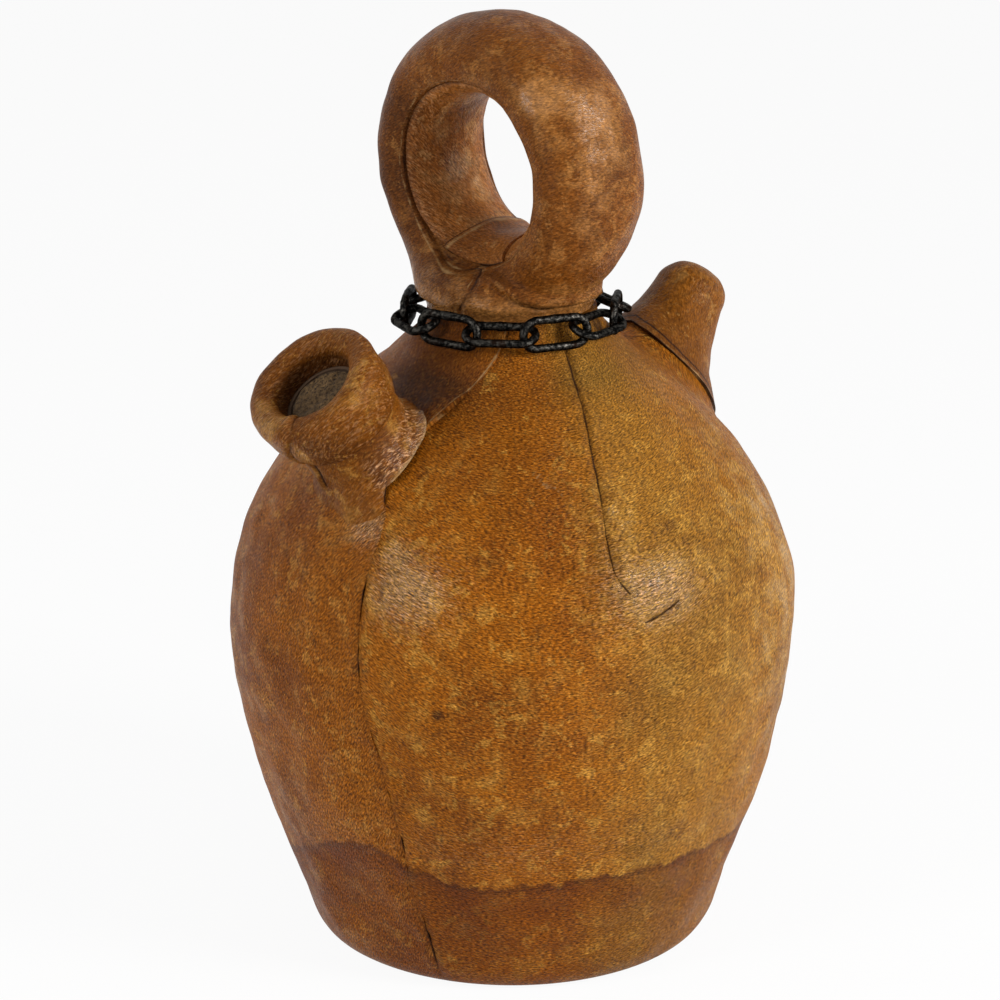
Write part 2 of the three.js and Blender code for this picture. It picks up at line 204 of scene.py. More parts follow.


# What each spot of a hide knows, with its value where there is nothing: mm to the nearest seam, fold, cut
# edge and tide mark, how pale from rubbing and painted light (or dark from grime and painted shade, below 0),
# how gathered, with painted glints on the gathers, and how much painted key light it takes
far_mm = 99.0
hide_marks = {"seam_mm": far_mm, "fold_mm": far_mm, "edge_mm": far_mm, "tide_mm": far_mm,
              "tone": 0.0, "gathers_and_glints": 0.0, "painted_key_light": 0.0}


def leather_mesh(name, points, faces, marks, material):
    mesh = bpy.data.meshes.new(name)
    mesh.from_pydata((points * 0.001).tolist(), [], faces)
    for label, rest in hide_marks.items():
        values = marks[label] if label in marks else np.full(len(points), rest)
        mark = mesh.attributes.new(label, "FLOAT", "POINT")
        mark.data.foreach_set("value", values.astype(np.float32).reshape(-1))
    # the place of each spot in the hide laid flat, which the grain follows
    lie = (marks.get("lie", points) * 0.001).astype(np.float32)
    mesh.attributes.new("lie", "FLOAT_VECTOR", "POINT").data.foreach_set("vector", lie.reshape(-1))
    mesh.polygons.foreach_set("use_smooth", [True] * len(mesh.polygons))
    mesh.set_sharp_from_angle(angle=math.radians(48))
    mesh.materials.append(material)
    piece = bpy.data.objects.new(name, mesh)
    scene.collection.objects.link(piece)
    return piece


def grid_quads(rows, columns, closed=False, looped=False):
    index = np.arange(rows * columns).reshape(rows, columns)
    if closed:
        index = np.concatenate([index, index[:, :1]], 1)
    if looped:
        index = np.concatenate([index, index[:1]])
    return np.stack([index[:-1, :-1], index[:-1, 1:], index[1:, 1:], index[1:, :-1]], -1)


# a hide with its two faces and the cut edge between them
def leather_shell(name, outer, inner, marks, material, keep=None, closed=False):
    quads = grid_quads(*outer.shape[:2], closed)
    quads = quads.reshape(-1, 4) if keep is None else quads[keep]
    p, q = outer.reshape(-1, 3), inner.reshape(-1, 3)
    facing = np.cross(p[quads[:, 2]] - p[quads[:, 0]], p[quads[:, 3]] - p[quads[:, 1]])
    if (facing * (p - q)[quads[:, 0]]).sum() < 0:
        quads = quads[:, ::-1]
    count = len(p)
    starts, ends = quads.reshape(-1), np.roll(quads, -1, 1).reshape(-1)
    rim = ~np.isin(starts * count + ends, ends * count + starts)
    a, b = starts[rim], ends[rim]
    faces = np.concatenate([quads, quads[:, ::-1] + count, np.stack([b, a, a + count, b + count], 1)])
    used, faces = np.unique(faces, return_inverse=True)
    marks = {label: np.tile(values.reshape(count, -1), (2, 1))[used] for label, values in marks.items()}
    return leather_mesh(name, np.concatenate([p, q])[used], faces.reshape(-1, 4).tolist(), marks, material)


# Vegetable-tanned hide, hand rubbed and aged: tan to red brown in clouds, a fine broken
# grain with painted glints on its worn crests, painted shade in the creases, pale at cut
# edges, and stained dark where the flask has stood in the wet.
# The lay turns the grain on the piece, and grained is how strongly it stands out.
def tanned_hide(name, tan, worn_and_lit, aged, soaked, roughness, lay, grained):
    hide, tree = new_material(name)
    place = add_node(tree, "ShaderNodeTexCoord", give="Object")
    seam, fold, edge, tide, tone, gathers_and_glints, painted_key_light = (
        add_node(tree, "ShaderNodeAttribute", give="Fac", attribute_name=label) for label in hide_marks)
    lie = add_node(tree, "ShaderNodeAttribute", give="Vector", attribute_name="lie")
    slanting, drawn = (
        add_node(tree, "ShaderNodeMapping", {"Vector": lie, "Rotation": lay, "Scale": (1.0, 1.0, squeeze)},
                 vector_type="TEXTURE") for squeeze in (0.28, 0.45))
    across = add_node(tree, "ShaderNodeMapping", {"Vector": slanting, "Scale": (1.0, 1.0, 1.5)})

    # By size in metres. The grain and the pores are finer than this on the hide, and are drawn
    # coarse enough to show, as short streaks across the way the hide lies.
    cloud, patch, blotch, scuff, spot, streak, painted_glint_specks, gather, grain, pore = (
        add_node(tree, "ShaderNodeTexNoise", {"Vector": where, "Scale": 1 / size, "Detail": detail,
                                              "Roughness": broken, "Distortion": twist}, give="Fac")
        for where, size, detail, broken, twist in (
            (place, 0.055, 3.0, 0.6, 0.0),      # clouds
            (place, 0.022, 2.0, 0.6, 0.0),      # patches
            (place, 0.010, 5.0, 0.65, 0.0),     # blotches
            (place, 0.0075, 6.0, 0.72, 0.5),    # scuffs
            (place, 0.0055, 4.0, 0.65, 0.3),    # spots
            (slanting, 0.009, 4.0, 0.7, 0.0),   # streaks
            (slanting, 0.0028, 2.0, 0.6, 0.0),  # specks
            (across, 0.003, 2.0, 0.6, 0.8),     # gathers
            (slanting, 0.0018, 1.5, 0.7, 0.4),  # grain
            (drawn, 0.0012, 1.0, 0.5, 0.0)))    # pores
    wear_and_light, flake, depth, wet, ragged = (
        add_node(tree, "ShaderNodeMath", {0: value, 1: times, 2: onto}, operation="MULTIPLY_ADD")
        for value, times, onto in ((tone, 0.30, blotch), (tone, 0.10, scuff), (streak, 0.14, grain),
                                   (blotch, 12.0, tide), (blotch, 5.0, edge)))

    # aged in clouds, rubbed by hands and painted light, grimed and painted shade, and painted straw-pale
    # where the key lamp's light falls
    colour = laid_over(tree, linear(tan), aged, cloud, 0.36, 0.58, 0.7, 0.0)
    colour = laid_over(tree, colour, worn_and_lit, wear_and_light, 0.46, 0.86, 0.0, 0.7)
    colour = laid_over(tree, colour, "#34190b", tone, 0.0, -1.0, 0.0, 0.8, soft=False)
    colour = laid_over(tree, colour, "#94752c", painted_key_light, 0.0, 1.0, 0.0, 0.38, soft=False)

    # ragged scuffs where the finish has flaked off, dark spots, pale specks painted as glints, and the
    # grain's crests, worn and painted light
    colour = laid_over(tree, colour, worn_and_lit, flake, 0.56, 0.61, 0.0, 0.42)
    colour = laid_over(tree, colour, "#4a2408", spot, 0.42, 0.34, 0.0, 0.4)
    colour = laid_over(tree, colour, worn_and_lit, painted_glint_specks, 0.64, 0.74, 0.0, 0.6)
    colour = laid_over(tree, colour, worn_and_lit, depth, 0.57, 0.72, 0.0, 0.15 * grained, soft=False)

    # water stain, dried out unevenly, with its dark rim where the wet stopped
    dried = add_node(tree, "ShaderNodeMapRange", {"Value": wet, 1: 2.0, 2: -26.0, 3: 0.8, 4: 0.4})
    uneven = add_node(tree, "ShaderNodeMapRange", {"Value": patch, 1: 0.36, 2: 0.60, 3: 0.55, 4: 1.1})
    left = add_node(tree, "ShaderNodeMath", {0: dried, 1: uneven}, operation="MULTIPLY")
    colour = laid_over(tree, colour, soaked, wet, 7.6, 5.4, 0.0, 1.0, times=left)
    off_tide = add_node(tree, "ShaderNodeMath", {0: wet, 1: 5.5}, operation="SUBTRACT")
    off_tide = add_node(tree, "ShaderNodeMath", {0: off_tide}, operation="ABSOLUTE")
    colour = laid_over(tree, colour, "#47230c", off_tide, 0.0, 2.4, 0.5, 0.0)

    # gathered places: lying wrinkles about 3 mm apart, with painted shade in the folds and painted highlights
    # on the ridges
    colour = laid_over(tree, colour, "#4a220c", gather, 0.47, 0.34, 0.0, 0.45, times=gathers_and_glints)
    colour = laid_over(tree, colour, "#cf9b6c", gather, 0.50, 0.64, 0.0, 0.62, times=gathers_and_glints)

    # the grain and the pores: painted shade in their pits and painted light on their crests
    shade, pits = (
        add_node(tree, "ShaderNodeMapRange",
                 {"Value": value, 1: low, 2: high, 3: 1 - dark * grained, 4: 1 + pale * grained})
        for value, low, high, dark, pale in ((depth, 0.44, 0.70, 0.30, 0.22), (pore, 0.3, 0.7, 0.65, 0.6)))
    shade = add_node(tree, "ShaderNodeMath", {0: shade, 1: pits}, operation="MULTIPLY")
    colour = add_node(tree, "ShaderNodeHueSaturation", {"Value": shade, "Color": colour})

    # seams and the crack hold dirt; creases are painted dark as their shade, and every seam and crease has a
    # soft band of painted shade beside it; cut edges show the pale fibres
    line, crease = (add_node(tree, "ShaderNodeMath", {0: mark}, operation="ABSOLUTE")
                    for mark in (seam, fold))
    broken = add_node(tree, "ShaderNodeMath", {0: patch, 1: 2.6, 2: line}, operation="MULTIPLY_ADD")
    broken = add_node(tree, "ShaderNodeMath", {0: broken, 1: 1.2}, operation="SUBTRACT")
    line = add_node(tree, "ShaderNodeMath", {0: broken, 1: line}, operation="MAXIMUM")
    line = add_node(tree, "ShaderNodeMath", {0: line, 1: crease}, operation="MINIMUM")
    colour = laid_over(tree, colour, "#4a2812", line, 0.4, 4.0, 0.22, 0.0)
    colour = laid_over(tree, colour, "#ab8759", ragged, 2.6, 4.2, 0.85, 0.0)
    colour = laid_over(tree, colour, "#241107", line, 0.1, 0.65, 0.9, 0.0)

    # relief of the grain, deeper where the hide was gathered; the polish over it is smoother
    gathered = add_node(tree, "ShaderNodeMath", {0: gather, 1: gathers_and_glints}, operation="MULTIPLY")
    reliefs = []
    for fine, deep in ((0.0008, 0.0011), (0.0005, 0.0006)):
        relief = add_node(tree, "ShaderNodeBump",
                          {"Height": depth, "Strength": 1.0, "Distance": fine * grained})
        relief = add_node(tree, "ShaderNodeBump",
                          {"Height": gathered, "Strength": 0.8, "Distance": deep, "Normal": relief})
        reliefs.append(relief)

    # polished on rubbed and gathered places, dull in the seams
    matt = add_node(tree, "ShaderNodeMapRange",
                    {"Value": wear_and_light, 1: 0.35, 2: 0.85, 3: roughness + 0.08, 4: roughness - 0.14})
    by_hand, by_fold, dull = (
        add_node(tree, "ShaderNodeMapRange", {"Value": value, 1: low, 2: high, 3: least, 4: most},
                 interpolation_type=way)
        for value, low, high, least, most, way in (
            (wear_and_light, 0.66, 1.0, 0.0, 0.8, "LINEAR"), (gathers_and_glints, 0.35, 1.2, 0.0, 0.4, "LINEAR"),
            (line, 0.1, 0.65, 0.9, 0.0, "SMOOTHSTEP")))
    polish = add_node(tree, "ShaderNodeMath", {0: by_hand, 1: by_fold}, operation="ADD")
    polish = add_node(tree, "ShaderNodeMath", {0: polish, 1: dull}, operation="SUBTRACT", use_clamp=True)
    skin = add_node(tree, "ShaderNodeBsdfPrincipled",
                    {"Base Color": colour, "Roughness": matt, "IOR": 1.48, "Specular IOR Level": 0.09,
                     "Coat Weight": polish, "Coat Roughness": 0.24, "Normal": reliefs[0],
                     "Coat Normal": reliefs[1]})
    add_node(tree, "ShaderNodeOutputMaterial", {"Surface": skin}, give=None)
    return hide


# The mouth and the spout leave the shoulder this far from the middle
collar_place = 68
mouth_tilt, spout_tilt = math.radians(50), math.radians(51)
collar_height = float(np.interp(-collar_place, -above_belly[:, 0], above_belly[:, 1]))
mouth_origin, spout_origin = (np.array([side * collar_place, 0, collar_height]) for side in (-1, 1))
mouth_axis = np.array([-math.cos(mouth_tilt), 0, math.sin(mouth_tilt)])
spout_axis = np.array([math.cos(spout_tilt), 0, math.sin(spout_tilt)])


def from_axis(points, origin, axis):
    along = (points - origin) @ axis
    return np.linalg.norm(points - origin - along[..., None] * axis, axis=-1)


# The form under the hide is given by fields: mm outside it, and the way out
def body_field(points):
    radius = np.hypot(points[:, 0], points[:, 1])
    wall = np.interp(points[:, 2], outline[:, 1], outline[:, 0])
    slope = np.interp(points[:, 2], outline[:, 1], np.gradient(outline[:, 0], outline[:, 1]))
    size = 1 / np.sqrt(1 + slope ** 2)
    gradient = np.stack([points[:, 0] / radius * size, points[:, 1] / radius * size, -slope * size], 1)
    return (radius - wall) * size, gradient


def collar_field(points, origin, axis, wall):
    height = (points - origin) @ axis
    aside = points - origin - height[:, None] * axis
    radius = np.linalg.norm(aside, axis=1)
    slope = np.interp(height, wall[:, 1], np.gradient(wall[:, 0], wall[:, 1]))
    size = 1 / np.sqrt(1 + slope ** 2)
    gradient = (aside / radius[:, None] - slope[:, None] * axis) * size[:, None]
    return (radius - np.interp(height, wall[:, 1], wall[:, 0])) * size, gradient


# two forms made one, with a soft fillet where they meet
def joined(one, other, blend):
    (a, slope_a), (b, slope_b) = one, other
    share = np.clip(0.5 + 0.5 * (b - a) / blend, 0, 1)
    return b + (a - b) * share - blend * share * (1 - share), slope_b + (slope_a - slope_b) * share[:, None]


# draws points on to a form, as the wet hide is drawn on to the clay
def settle(points, field, rounds=8):
    shape = points.shape
    points = points.reshape(-1, 3).copy()
    for _ in range(rounds):
        distance, slope = field(points)
        points -= slope * (distance / (slope ** 2).sum(1))[:, None]
    slope = field(points)[1]
    slope /= np.linalg.norm(slope, axis=1)[:, None]
    return points.reshape(shape), slope.reshape(shape)


# Where the spout leaves the shoulder the hide is pulled up round its root, as high as the
# seam with the spout's own sleeve: highest on the neck's side
spout_radius, spout_knee = 13.2, 36
spout_seam_top, spout_seam_fall = 14.4, 0.103
root_reach, pull_from, pull_to, root_fillet = 44, 34, 22, 12.0
spout_wall = bezier([(29, -10), (21.1, 10), (spout_radius, 26), (spout_radius, spout_knee)], 120)


def spout_root(points):
    cone = collar_field(points, spout_origin, spout_axis, spout_wall)
    return joined(cone, body_field(points), root_fillet)


# the turn round the mouth or the spout
def collar_turn(points, origin, axis):
    arm = points - origin
    return np.arctan2(arm[..., 1], arm @ np.array([axis[2], 0, -axis[0]]))


def spout_seam_height(points):
    from_neck_side = 180 - np.abs(np.degrees(collar_turn(points, spout_origin, spout_axis)))
    return spout_seam_top - spout_seam_fall * from_neck_side


def up_the_spout(spot, normal):
    aside = from_axis(spot, spout_origin, spout_axis)
    near = (aside < root_reach) & (spot[..., 0] > 0)
    height = (spot - spout_origin) @ spout_axis
    pull = (spout_seam_height(spot) - height) * ramp(pull_from - aside, 0, pull_from - pull_to)
    pull += np.maximum(pull_to - aside, 0) * 0.8
    moved = spot[near] + pull[near][:, None] * spout_axis
    spot, normal = spot.copy(), normal.copy()
    spot[near], normal[near] = settle(moved, spout_root, rounds=12)
    return spot, normal, np.where(spot[..., 0] > 0, aside, far_mm)


# Seams by height in mm and turn in degrees. Above the mouth the back panel laps over the front.
mouth_seam = seam_line([
    (0, 206.5), (11, 205.5), (45, 202), (62, 201.3), (96, 198.2), (120, 195), (147, 194.5), (159, 195),
    (172, 195.6), (174.5, 195.6), (177.5, 191.4), (181, 190), (189, 190.5), (197, 193.8), (200, 197),
    (206, 202.2), (216, 212), (227, 218)])
spout_seam = seam_line([
    (0, 337), (150, 337), (175, 339), (188, 343), (196, 345), (202, 348), (208, 355), (227, 362)])
dart_seam = seam_line([
    (0, 262), (60, 256), (120, 251.5), (146, 250.8), (150.7, 249.4), (156, 246.9), (161, 246.9), (170, 247.3),
    (194, 250.7), (213, 256), (227, 260)])
dart_foot = float(length_at(150.5))


# how far the back panel's edge lies over the front panel
def lap_part(length):
    return ramp(length, length_at(176), length_at(190))


# how far the side seam stands open, up its length
def mouth_seam_shows(length):
    heights = [0, 14, 26, 30, 52, 56, 61, 64, 70, 100, 107, 119, 123, 150, 157, 168, 190]
    shows = [0.2, 1.0, 0.9, 0.1, 0.1, 0.9, 0.9, 0.2, 0.5, 0.6, 0.15, 0.25, 0.9, 1.0, 0.3, 0.0, 0.0]
    return np.interp(length, length_at(np.array(heights)), shows)


# Height that the wet reached, by the turn round the body
tide_turns = [-30, 0, 40, 80, 120, 152, 180, 193, 200, 212, 218, 236, 256, 274, 300, 330, 360, 400]
tide_heights = [40, 43, 38, 34, 37, 33, 51, 57, 51, 46, 44.5, 46, 47.4, 47, 45, 40, 43, 38]


def tide_over(length, turn):
    return length - length_at(np.interp(np.degrees(turn), tide_turns, tide_heights))


# spots by turn, height, half width and half height in mm, and amount
def patches(length, turn, radius, spots):
    total = np.zeros(length.shape)
    for spot_turn, height, across, along, amount in spots:
        aside = radius * np.sin(turn - math.radians(spot_turn))
        ahead = np.cos(turn - math.radians(spot_turn)) > 0
        total += amount * ahead * np.exp(-(aside / across) ** 2 - ((length - length_at(height)) / along) ** 2)
    return total


# mm from a line that is drawn on the hide
def beside_line(points, line):
    best = np.full(points.shape[:-1], far_mm)
    for a, b in zip(line[:-1], line[1:]):
        t = np.clip((points - a) @ (b - a) / ((b - a) @ (b - a)), 0, 1)
        best = np.minimum(best, np.linalg.norm(points - a - t[..., None] * (b - a), axis=-1))
    return best


# columns lie closer by the seams
def columns_between(count):
    t = np.linspace(0, 1, count)
    return 0.6 * t + 0.2 * (1 - np.cos(math.pi * t))


# a panel from seam to seam, with mm from its seams and its dart
def panel_grid(length, left, dart, right, columns):
    to_dart, past_dart = (columns_between(count) for count in columns)
    turn = np.concatenate([left + (dart - left) * to_dart, dart + (right - dart) * past_dart[1:]], 1)
    length = np.broadcast_to(length, turn.shape)
    spot, normal = on_body(length, turn)
    radius = np.hypot(spot[..., 0], spot[..., 1])
    from_left, from_right = radius * (turn - left), radius * (right - turn)
    beside_dart = radius * (turn - dart)
    from_dart = np.hypot(beside_dart, np.maximum(dart_foot - length, 0))
    return length, turn, spot, normal, radius, from_left, from_right, beside_dart, from_dart


# swellings, puckers by the seams and the seams themselves, on both panels
def sewn_relief(spot, length, by_mouth, by_spout, from_dart, puckers):
    lift = 0.45 * ripple(spot, 46, 3) + 0.16 * ripple(spot, 15, 4)
    lift += puckers * (bell(by_mouth, 9) * (1 - lap_part(length)) + bell(from_dart, 8))
    lift += (0.3 * bell(by_mouth - 2.6, 2.0) - 0.6 * bell(by_mouth, 0.8)) * mouth_seam_shows(length)
    return lift + 0.35 * bell(by_spout - 2.6, 2.0) - 0.8 * bell(by_spout, 0.9)


# the chain has worn the hide flat where it lies
def worn_flat(lift, under_chain):
    return np.minimum(lift, lift * (1 - under_chain)) - 0.35 * under_chain


hide_thick, deepest_crease = 2.0, -1.6
chain_low, chain_high = 203, 209
pucker_turn, pucker_height = math.radians(254.5), 149.5
front_middle, least_radius = math.radians(236), 60
droop, droop_reach = 0.00375, 80
straight_lay = (0.0, 0.0, 0.0)
front_tan = tanned_hide("tan_hide_front", "#96540a", "#bf8d3c", "#6e3606", "#652f07", 0.44, straight_lay, 1.0)
length = np.linspace(0, neck_length, 205)[:, None]
length, turn, spot, normal, radius, from_left, from_right, beside_dart, from_dart = panel_grid(
    length, mouth_seam(length), dart_seam(length), spout_seam(length), (78, 122))
lapped, seam_shows = lap_part(length), mouth_seam_shows(length)
lift = sewn_relief(spot, length, from_left, from_right, from_dart, 0.22 * ripple(spot, 8, 5))
lift -= 0.6 * lapped * bell(from_left, 6)
sewn = ramp(length, dart_foot - 4, dart_foot + 10)
lift += sewn * (0.7 * bell(beside_dart + 2.8, 2.6) + 0.2 * bell(beside_dart - 3.0, 2.6))
lift -= sewn * bell(from_dart, 0.9)

# the pucker at the dart's foot: a rubbed swelling that leans up to the right, with a short
# deep fold under it
aside, ahead = radius * (turn - pucker_turn), length - length_at(pucker_height)
leaning, standing = 0.9 * (aside - 3) + 0.43 * (ahead - 1), -0.43 * (aside - 3) + 0.9 * (ahead - 1)
lift += 1.9 * np.exp(-(leaning / 15) ** 2 - (standing / 7.5) ** 2)
under = ahead + 9 - 0.22 * (aside + 2.8) - 0.012 * (aside + 2.8) ** 2
fold_part = ramp(aside, -6, -1) * ramp(-aside, -13, -8)
lift -= 1.3 * fold_part * bell(under, 1.2)
lift += 0.8 * fold_part * (bell(under - 3, 2.0) + 0.6 * bell(under + 3.5, 2.4))
lift += 0.8 * bell(np.hypot(aside + 8.5, ahead - 1), 3.2)
fold = np.where(fold_part > 0.3, under / np.maximum(fold_part, 0.3), far_mm)

lift = worn_flat(lift, ramp(spot[..., 2], chain_low, chain_high))
lift *= ramp(spot[..., 2], 0, 12)
spot, normal, from_spout = up_the_spout(spot, normal)
lift *= ramp(from_spout, 24, 40)
outer = spot + normal * np.maximum(lift, deepest_crease)[..., None]

# the grain droops to both sides of the middle of the hide
aside = np.maximum(radius, least_radius) * (turn - front_middle)
bent = np.minimum(np.abs(aside), droop_reach)
lie = np.stack([aside, 0 * aside, length - droop * bent * (2 * np.abs(aside) - bent)], -1)
scratches = [on_body(length_at(np.array(heights)), np.radians(turns))[0]
             for heights, turns in (((187.6, 180.2), (231.5, 238.8)), ((186.4, 182.6), (231.0, 234.8)))]
scratched = np.minimum(*(beside_line(spot, line) for line in scratches))
crack = on_body(length_at(np.array([174.0, 176.6, 180.0])), np.radians([195.8, 191.8, 190.0]))[0]
by_mouth = np.where(lapped > 0.35, np.abs(from_left - 3.8) + 0.2, from_left + 1.2 * (1 - seam_shows))
round_to = np.degrees(turn)
marks = {
    "lie": lie,
    "seam_mm": np.minimum(np.minimum(by_mouth, from_right), from_dart),
    "edge_mm": 1.5 * scratched + 0.6,
    "fold_mm": np.minimum(fold + 0.25, beside_line(spot, crack)),
    "tide_mm": tide_over(length, turn),
    # tone: the pale patches on the side seam's flank (turn 205) and on the pucker (turn 255) are rubbed hide
    # with painted highlights of the fill and the key lamp; the dark patch at turn 280 is painted shade at the
    # right edge; the patches round the shoulder under the chain are darker
    "tone": patches(length, turn, radius, [
        (205, 151, 13, 11, 0.85), (200, 162, 5, 5, 0.5), (255, 151, 17, 11, 0.95), (246, 148, 9, 9, -0.2),
        (290, 160, 26, 26, 0.5), (296, 125, 42, 46, 0.5), (211.5, 112, 1.9, 1.6, -2.2),
        (209, 112.5, 5, 3, 0.5), (252, 58, 4, 1.5, -0.5), (215, 205, 22, 10, -0.35), (262, 210, 18, 7, -0.45),
        (236, 190, 40, 24, -0.3), (240, 222, 60, 9, -0.1), (310, 212, 40, 12, -0.3), (250, 176, 13, 30, 0.4),
        (280, 152, 18, 20, -0.45)]),
    # painted key light: straw-pale on the side turned to the key lamp, less past turn 272
    "painted_key_light": ramp(round_to, 234, 260)
             * (1 - 0.4 * ramp(round_to, 272, 296) - 0.45 * ramp(round_to, 298, 326)),
    "gathers_and_glints": patches(length, turn, radius, [
        (205, 151, 13, 11, 1.8), (200, 162, 6, 6, 1.0), (256, 149, 17, 11, 1.45), (225, 60, 60, 9, 0.35),
        (247, 160, 7, 18, 0.4)]),
}
front = leather_shell("front_hide", outer, spot - normal * hide_thick, marks, front_tan)
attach(front, "vessel")
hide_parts("front_panel")


# Back panel
# The hide over the back, with holes cut for the mouth and the spout. Below the mouth its
# edge is turned in and sewn to the front panel; above it the cut edge laps over the front
# panel and shows its pale thickness.

lap_wide, lap_high = 3.2, 1.9
mouth_hole, spout_hole = 15.5, 20.5
back_middle = math.radians(170)
back_dart_seam = seam_line([(0, 100), (100, 103), (160, 105), (213, 107), (227, 108)])
length = np.linspace(0, neck_length, 168)[:, None]
over_front = lap_part(length) * lap_wide / np.interp(length, outline_length, outline[:, 0])
from_spout_side, to_mouth_side = spout_seam(length) - 2 * math.pi, mouth_seam(length) + over_front
length, turn, spot, normal, radius, from_left, from_right, beside_dart, from_dart = panel_grid(
    length, from_spout_side, back_dart_seam(length), to_mouth_side, (126, 96))
lapped, seam_shows = lap_part(length), mouth_seam_shows(length)
lift = sewn_relief(spot, length, from_right, from_left, from_dart, 0.25 * ripple(spot, 8, 15))
sewn = ramp(length, dart_foot - 4, dart_foot + 10)
lift += sewn * (0.6 * bell(np.abs(beside_dart) - 2.8, 2.4) - 1.4 * bell(from_dart, 1.1))
under_chain = ramp(spot[..., 2], chain_low, chain_high)
lift = worn_flat(lift, under_chain)
near_mouth = from_axis(spot, mouth_origin, mouth_axis) + far_mm * (spot[..., 0] > 0)
lift *= ramp(spot[..., 2], 0, 12) * ramp(near_mouth, 20, 32)
lap = lap_high * lapped * (1 - ramp(from_right, 5, 15)) * ramp(near_mouth, 19, 25)
lap *= 1 - 0.85 * under_chain
keep = near_mouth[:-1, :-1] > mouth_hole
spot, normal, from_spout = up_the_spout(spot, normal)
keep &= from_spout[:-1, :-1] > spout_hole
lift *= ramp(from_spout, 24, 40)
outer = spot + normal * (np.maximum(lift, deepest_crease) + lap)[..., None]
inner = spot + normal * (lap - hide_thick)[..., None]
aside = np.maximum(radius, least_radius) * (turn - back_middle)
by_mouth = from_right + 1.2 * (1 - seam_shows) + 40 * lapped
marks = {
    "lie": np.stack([0.87 * length + 0.5 * aside, 0 * aside, 0.5 * length - 0.87 * aside], -1),
    "seam_mm": np.minimum(np.minimum(by_mouth, from_left), from_dart),
    "fold_mm": beside_line(spot, crack),
    "edge_mm": np.where(lapped > 0.35, 2.0 * np.abs(from_right - 0.5) + 0.5, far_mm),
    "tide_mm": tide_over(length, turn),
    # tone: the dark patch between the mouth and the neck (turn 190, height 206) is painted shade
    "tone": patches(length, turn, radius, [
        (191.5, 169, 6, 7, 0.9), (190, 206, 20, 11, -1.3), (160, 120, 40, 50, -0.1), (60, 140, 40, 40, 0.4),
        (20, 110, 30, 30, 0.25), (120, 222, 80, 9, -0.5), (150, 100, 22, 30, 0.2)]),
    "gathers_and_glints": patches(length, turn, radius, [
        (191.5, 169, 7, 8, 1.6), (106, 148, 18, 14, 0.9), (180, 60, 40, 9, 0.35)]),
}
back_tan = tanned_hide("tan_hide_back", "#8f4f0a", "#bb853c", "#683206", "#652f07", 0.44, straight_lay, 1.0)
back = leather_shell("back_hide", outer, inner, marks, back_tan, keep=keep)
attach(back, "vessel")
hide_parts("back_panel")


# Base sole
# A round of thick sole leather under the base, on which the flask stands. The edges of
# the two panels come in under the foot and are sewn to its rim.

# a round piece from its section, radius and height
def turned(section, turns):
    radius, height = section[:, :1], section[:, 1:]
    return np.stack([radius * np.cos(turns), radius * np.sin(turns), height + 0 * turns], -1)


def capped(rows, columns):
    end = np.arange(columns)
    sides = grid_quads(rows, columns, closed=True).reshape(-1, 4)[:, ::-1]
    return sides.tolist() + [end.tolist(), (end + (rows - 1) * columns)[::-1].tolist()]


sole_seam_radius = 61.0
sole_hide = tanned_hide("sole_hide", "#6b4220", "#8a6238", "#4f2c12", "#4a260e", 0.62, straight_lay, 1.0)
turn = np.linspace(0, 2 * math.pi, 181)[:-1]
section = np.array([(0.01, 2.0), (20, 2.0), (45, 2.0), (62.6, 2.0), (63.5, 1.7), (63.9, 1.0), (63.5, 0.25),
                    (62.6, 0.0), (45, 0.0), (20, 0.0), (0.01, 0.0)])
rim = np.repeat(np.abs(section[:, 0] - sole_seam_radius), len(turn))
sole = leather_mesh("sole_round", turned(section, turn).reshape(-1, 3), capped(len(section), len(turn)),
                    {"seam_mm": rim, "tide_mm": np.full(len(rim), -20.0)}, sole_hide)
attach(sole, "vessel")
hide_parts("base_sole")


# Mouth sleeve
# A tube of hide round the mouth: rolled fat over the clay lip, turned in at the top and closed
# by one seam on the outer side. Its root runs out smoothly on the belly's side; towards the
# neck of the flask its raw edge lies on the body, gathered into wrinkles.

# rings of points round the mouth or the spout, and the way out from its axis
def collar_grid(radius, height, turns, origin, axis):
    side = np.array([axis[2], 0, -axis[0]])
    around = np.cos(turns)[:, None] * side + np.sin(turns)[:, None] * np.cross(axis, side)
    return origin + height[..., None] * axis + radius[..., None] * around, around


def section_normals(section, around, axis):
    slope = np.gradient(section, axis=0)
    slope /= np.hypot(*slope.T)[:, None]
    return slope[:, 1][:, None, None] * around - slope[:, 0][:, None, None] * axis


def between(turn, first, full, end, last):
    turn = np.degrees(turn)
    return ramp(turn, first, full) * (1 - ramp(turn, end, last))


# Parts of the way round the sleeve: where its raw edge shows, the low side on the belly, and
# the side that is double
def raw_part(turn):
    return between(turn, 226, 244, 325, 340)


def low_part(turn):
    return between(turn, 178, 206, 222, 240)


def double_part(turn):
    return between(turn, 200, 235, 330, 350)


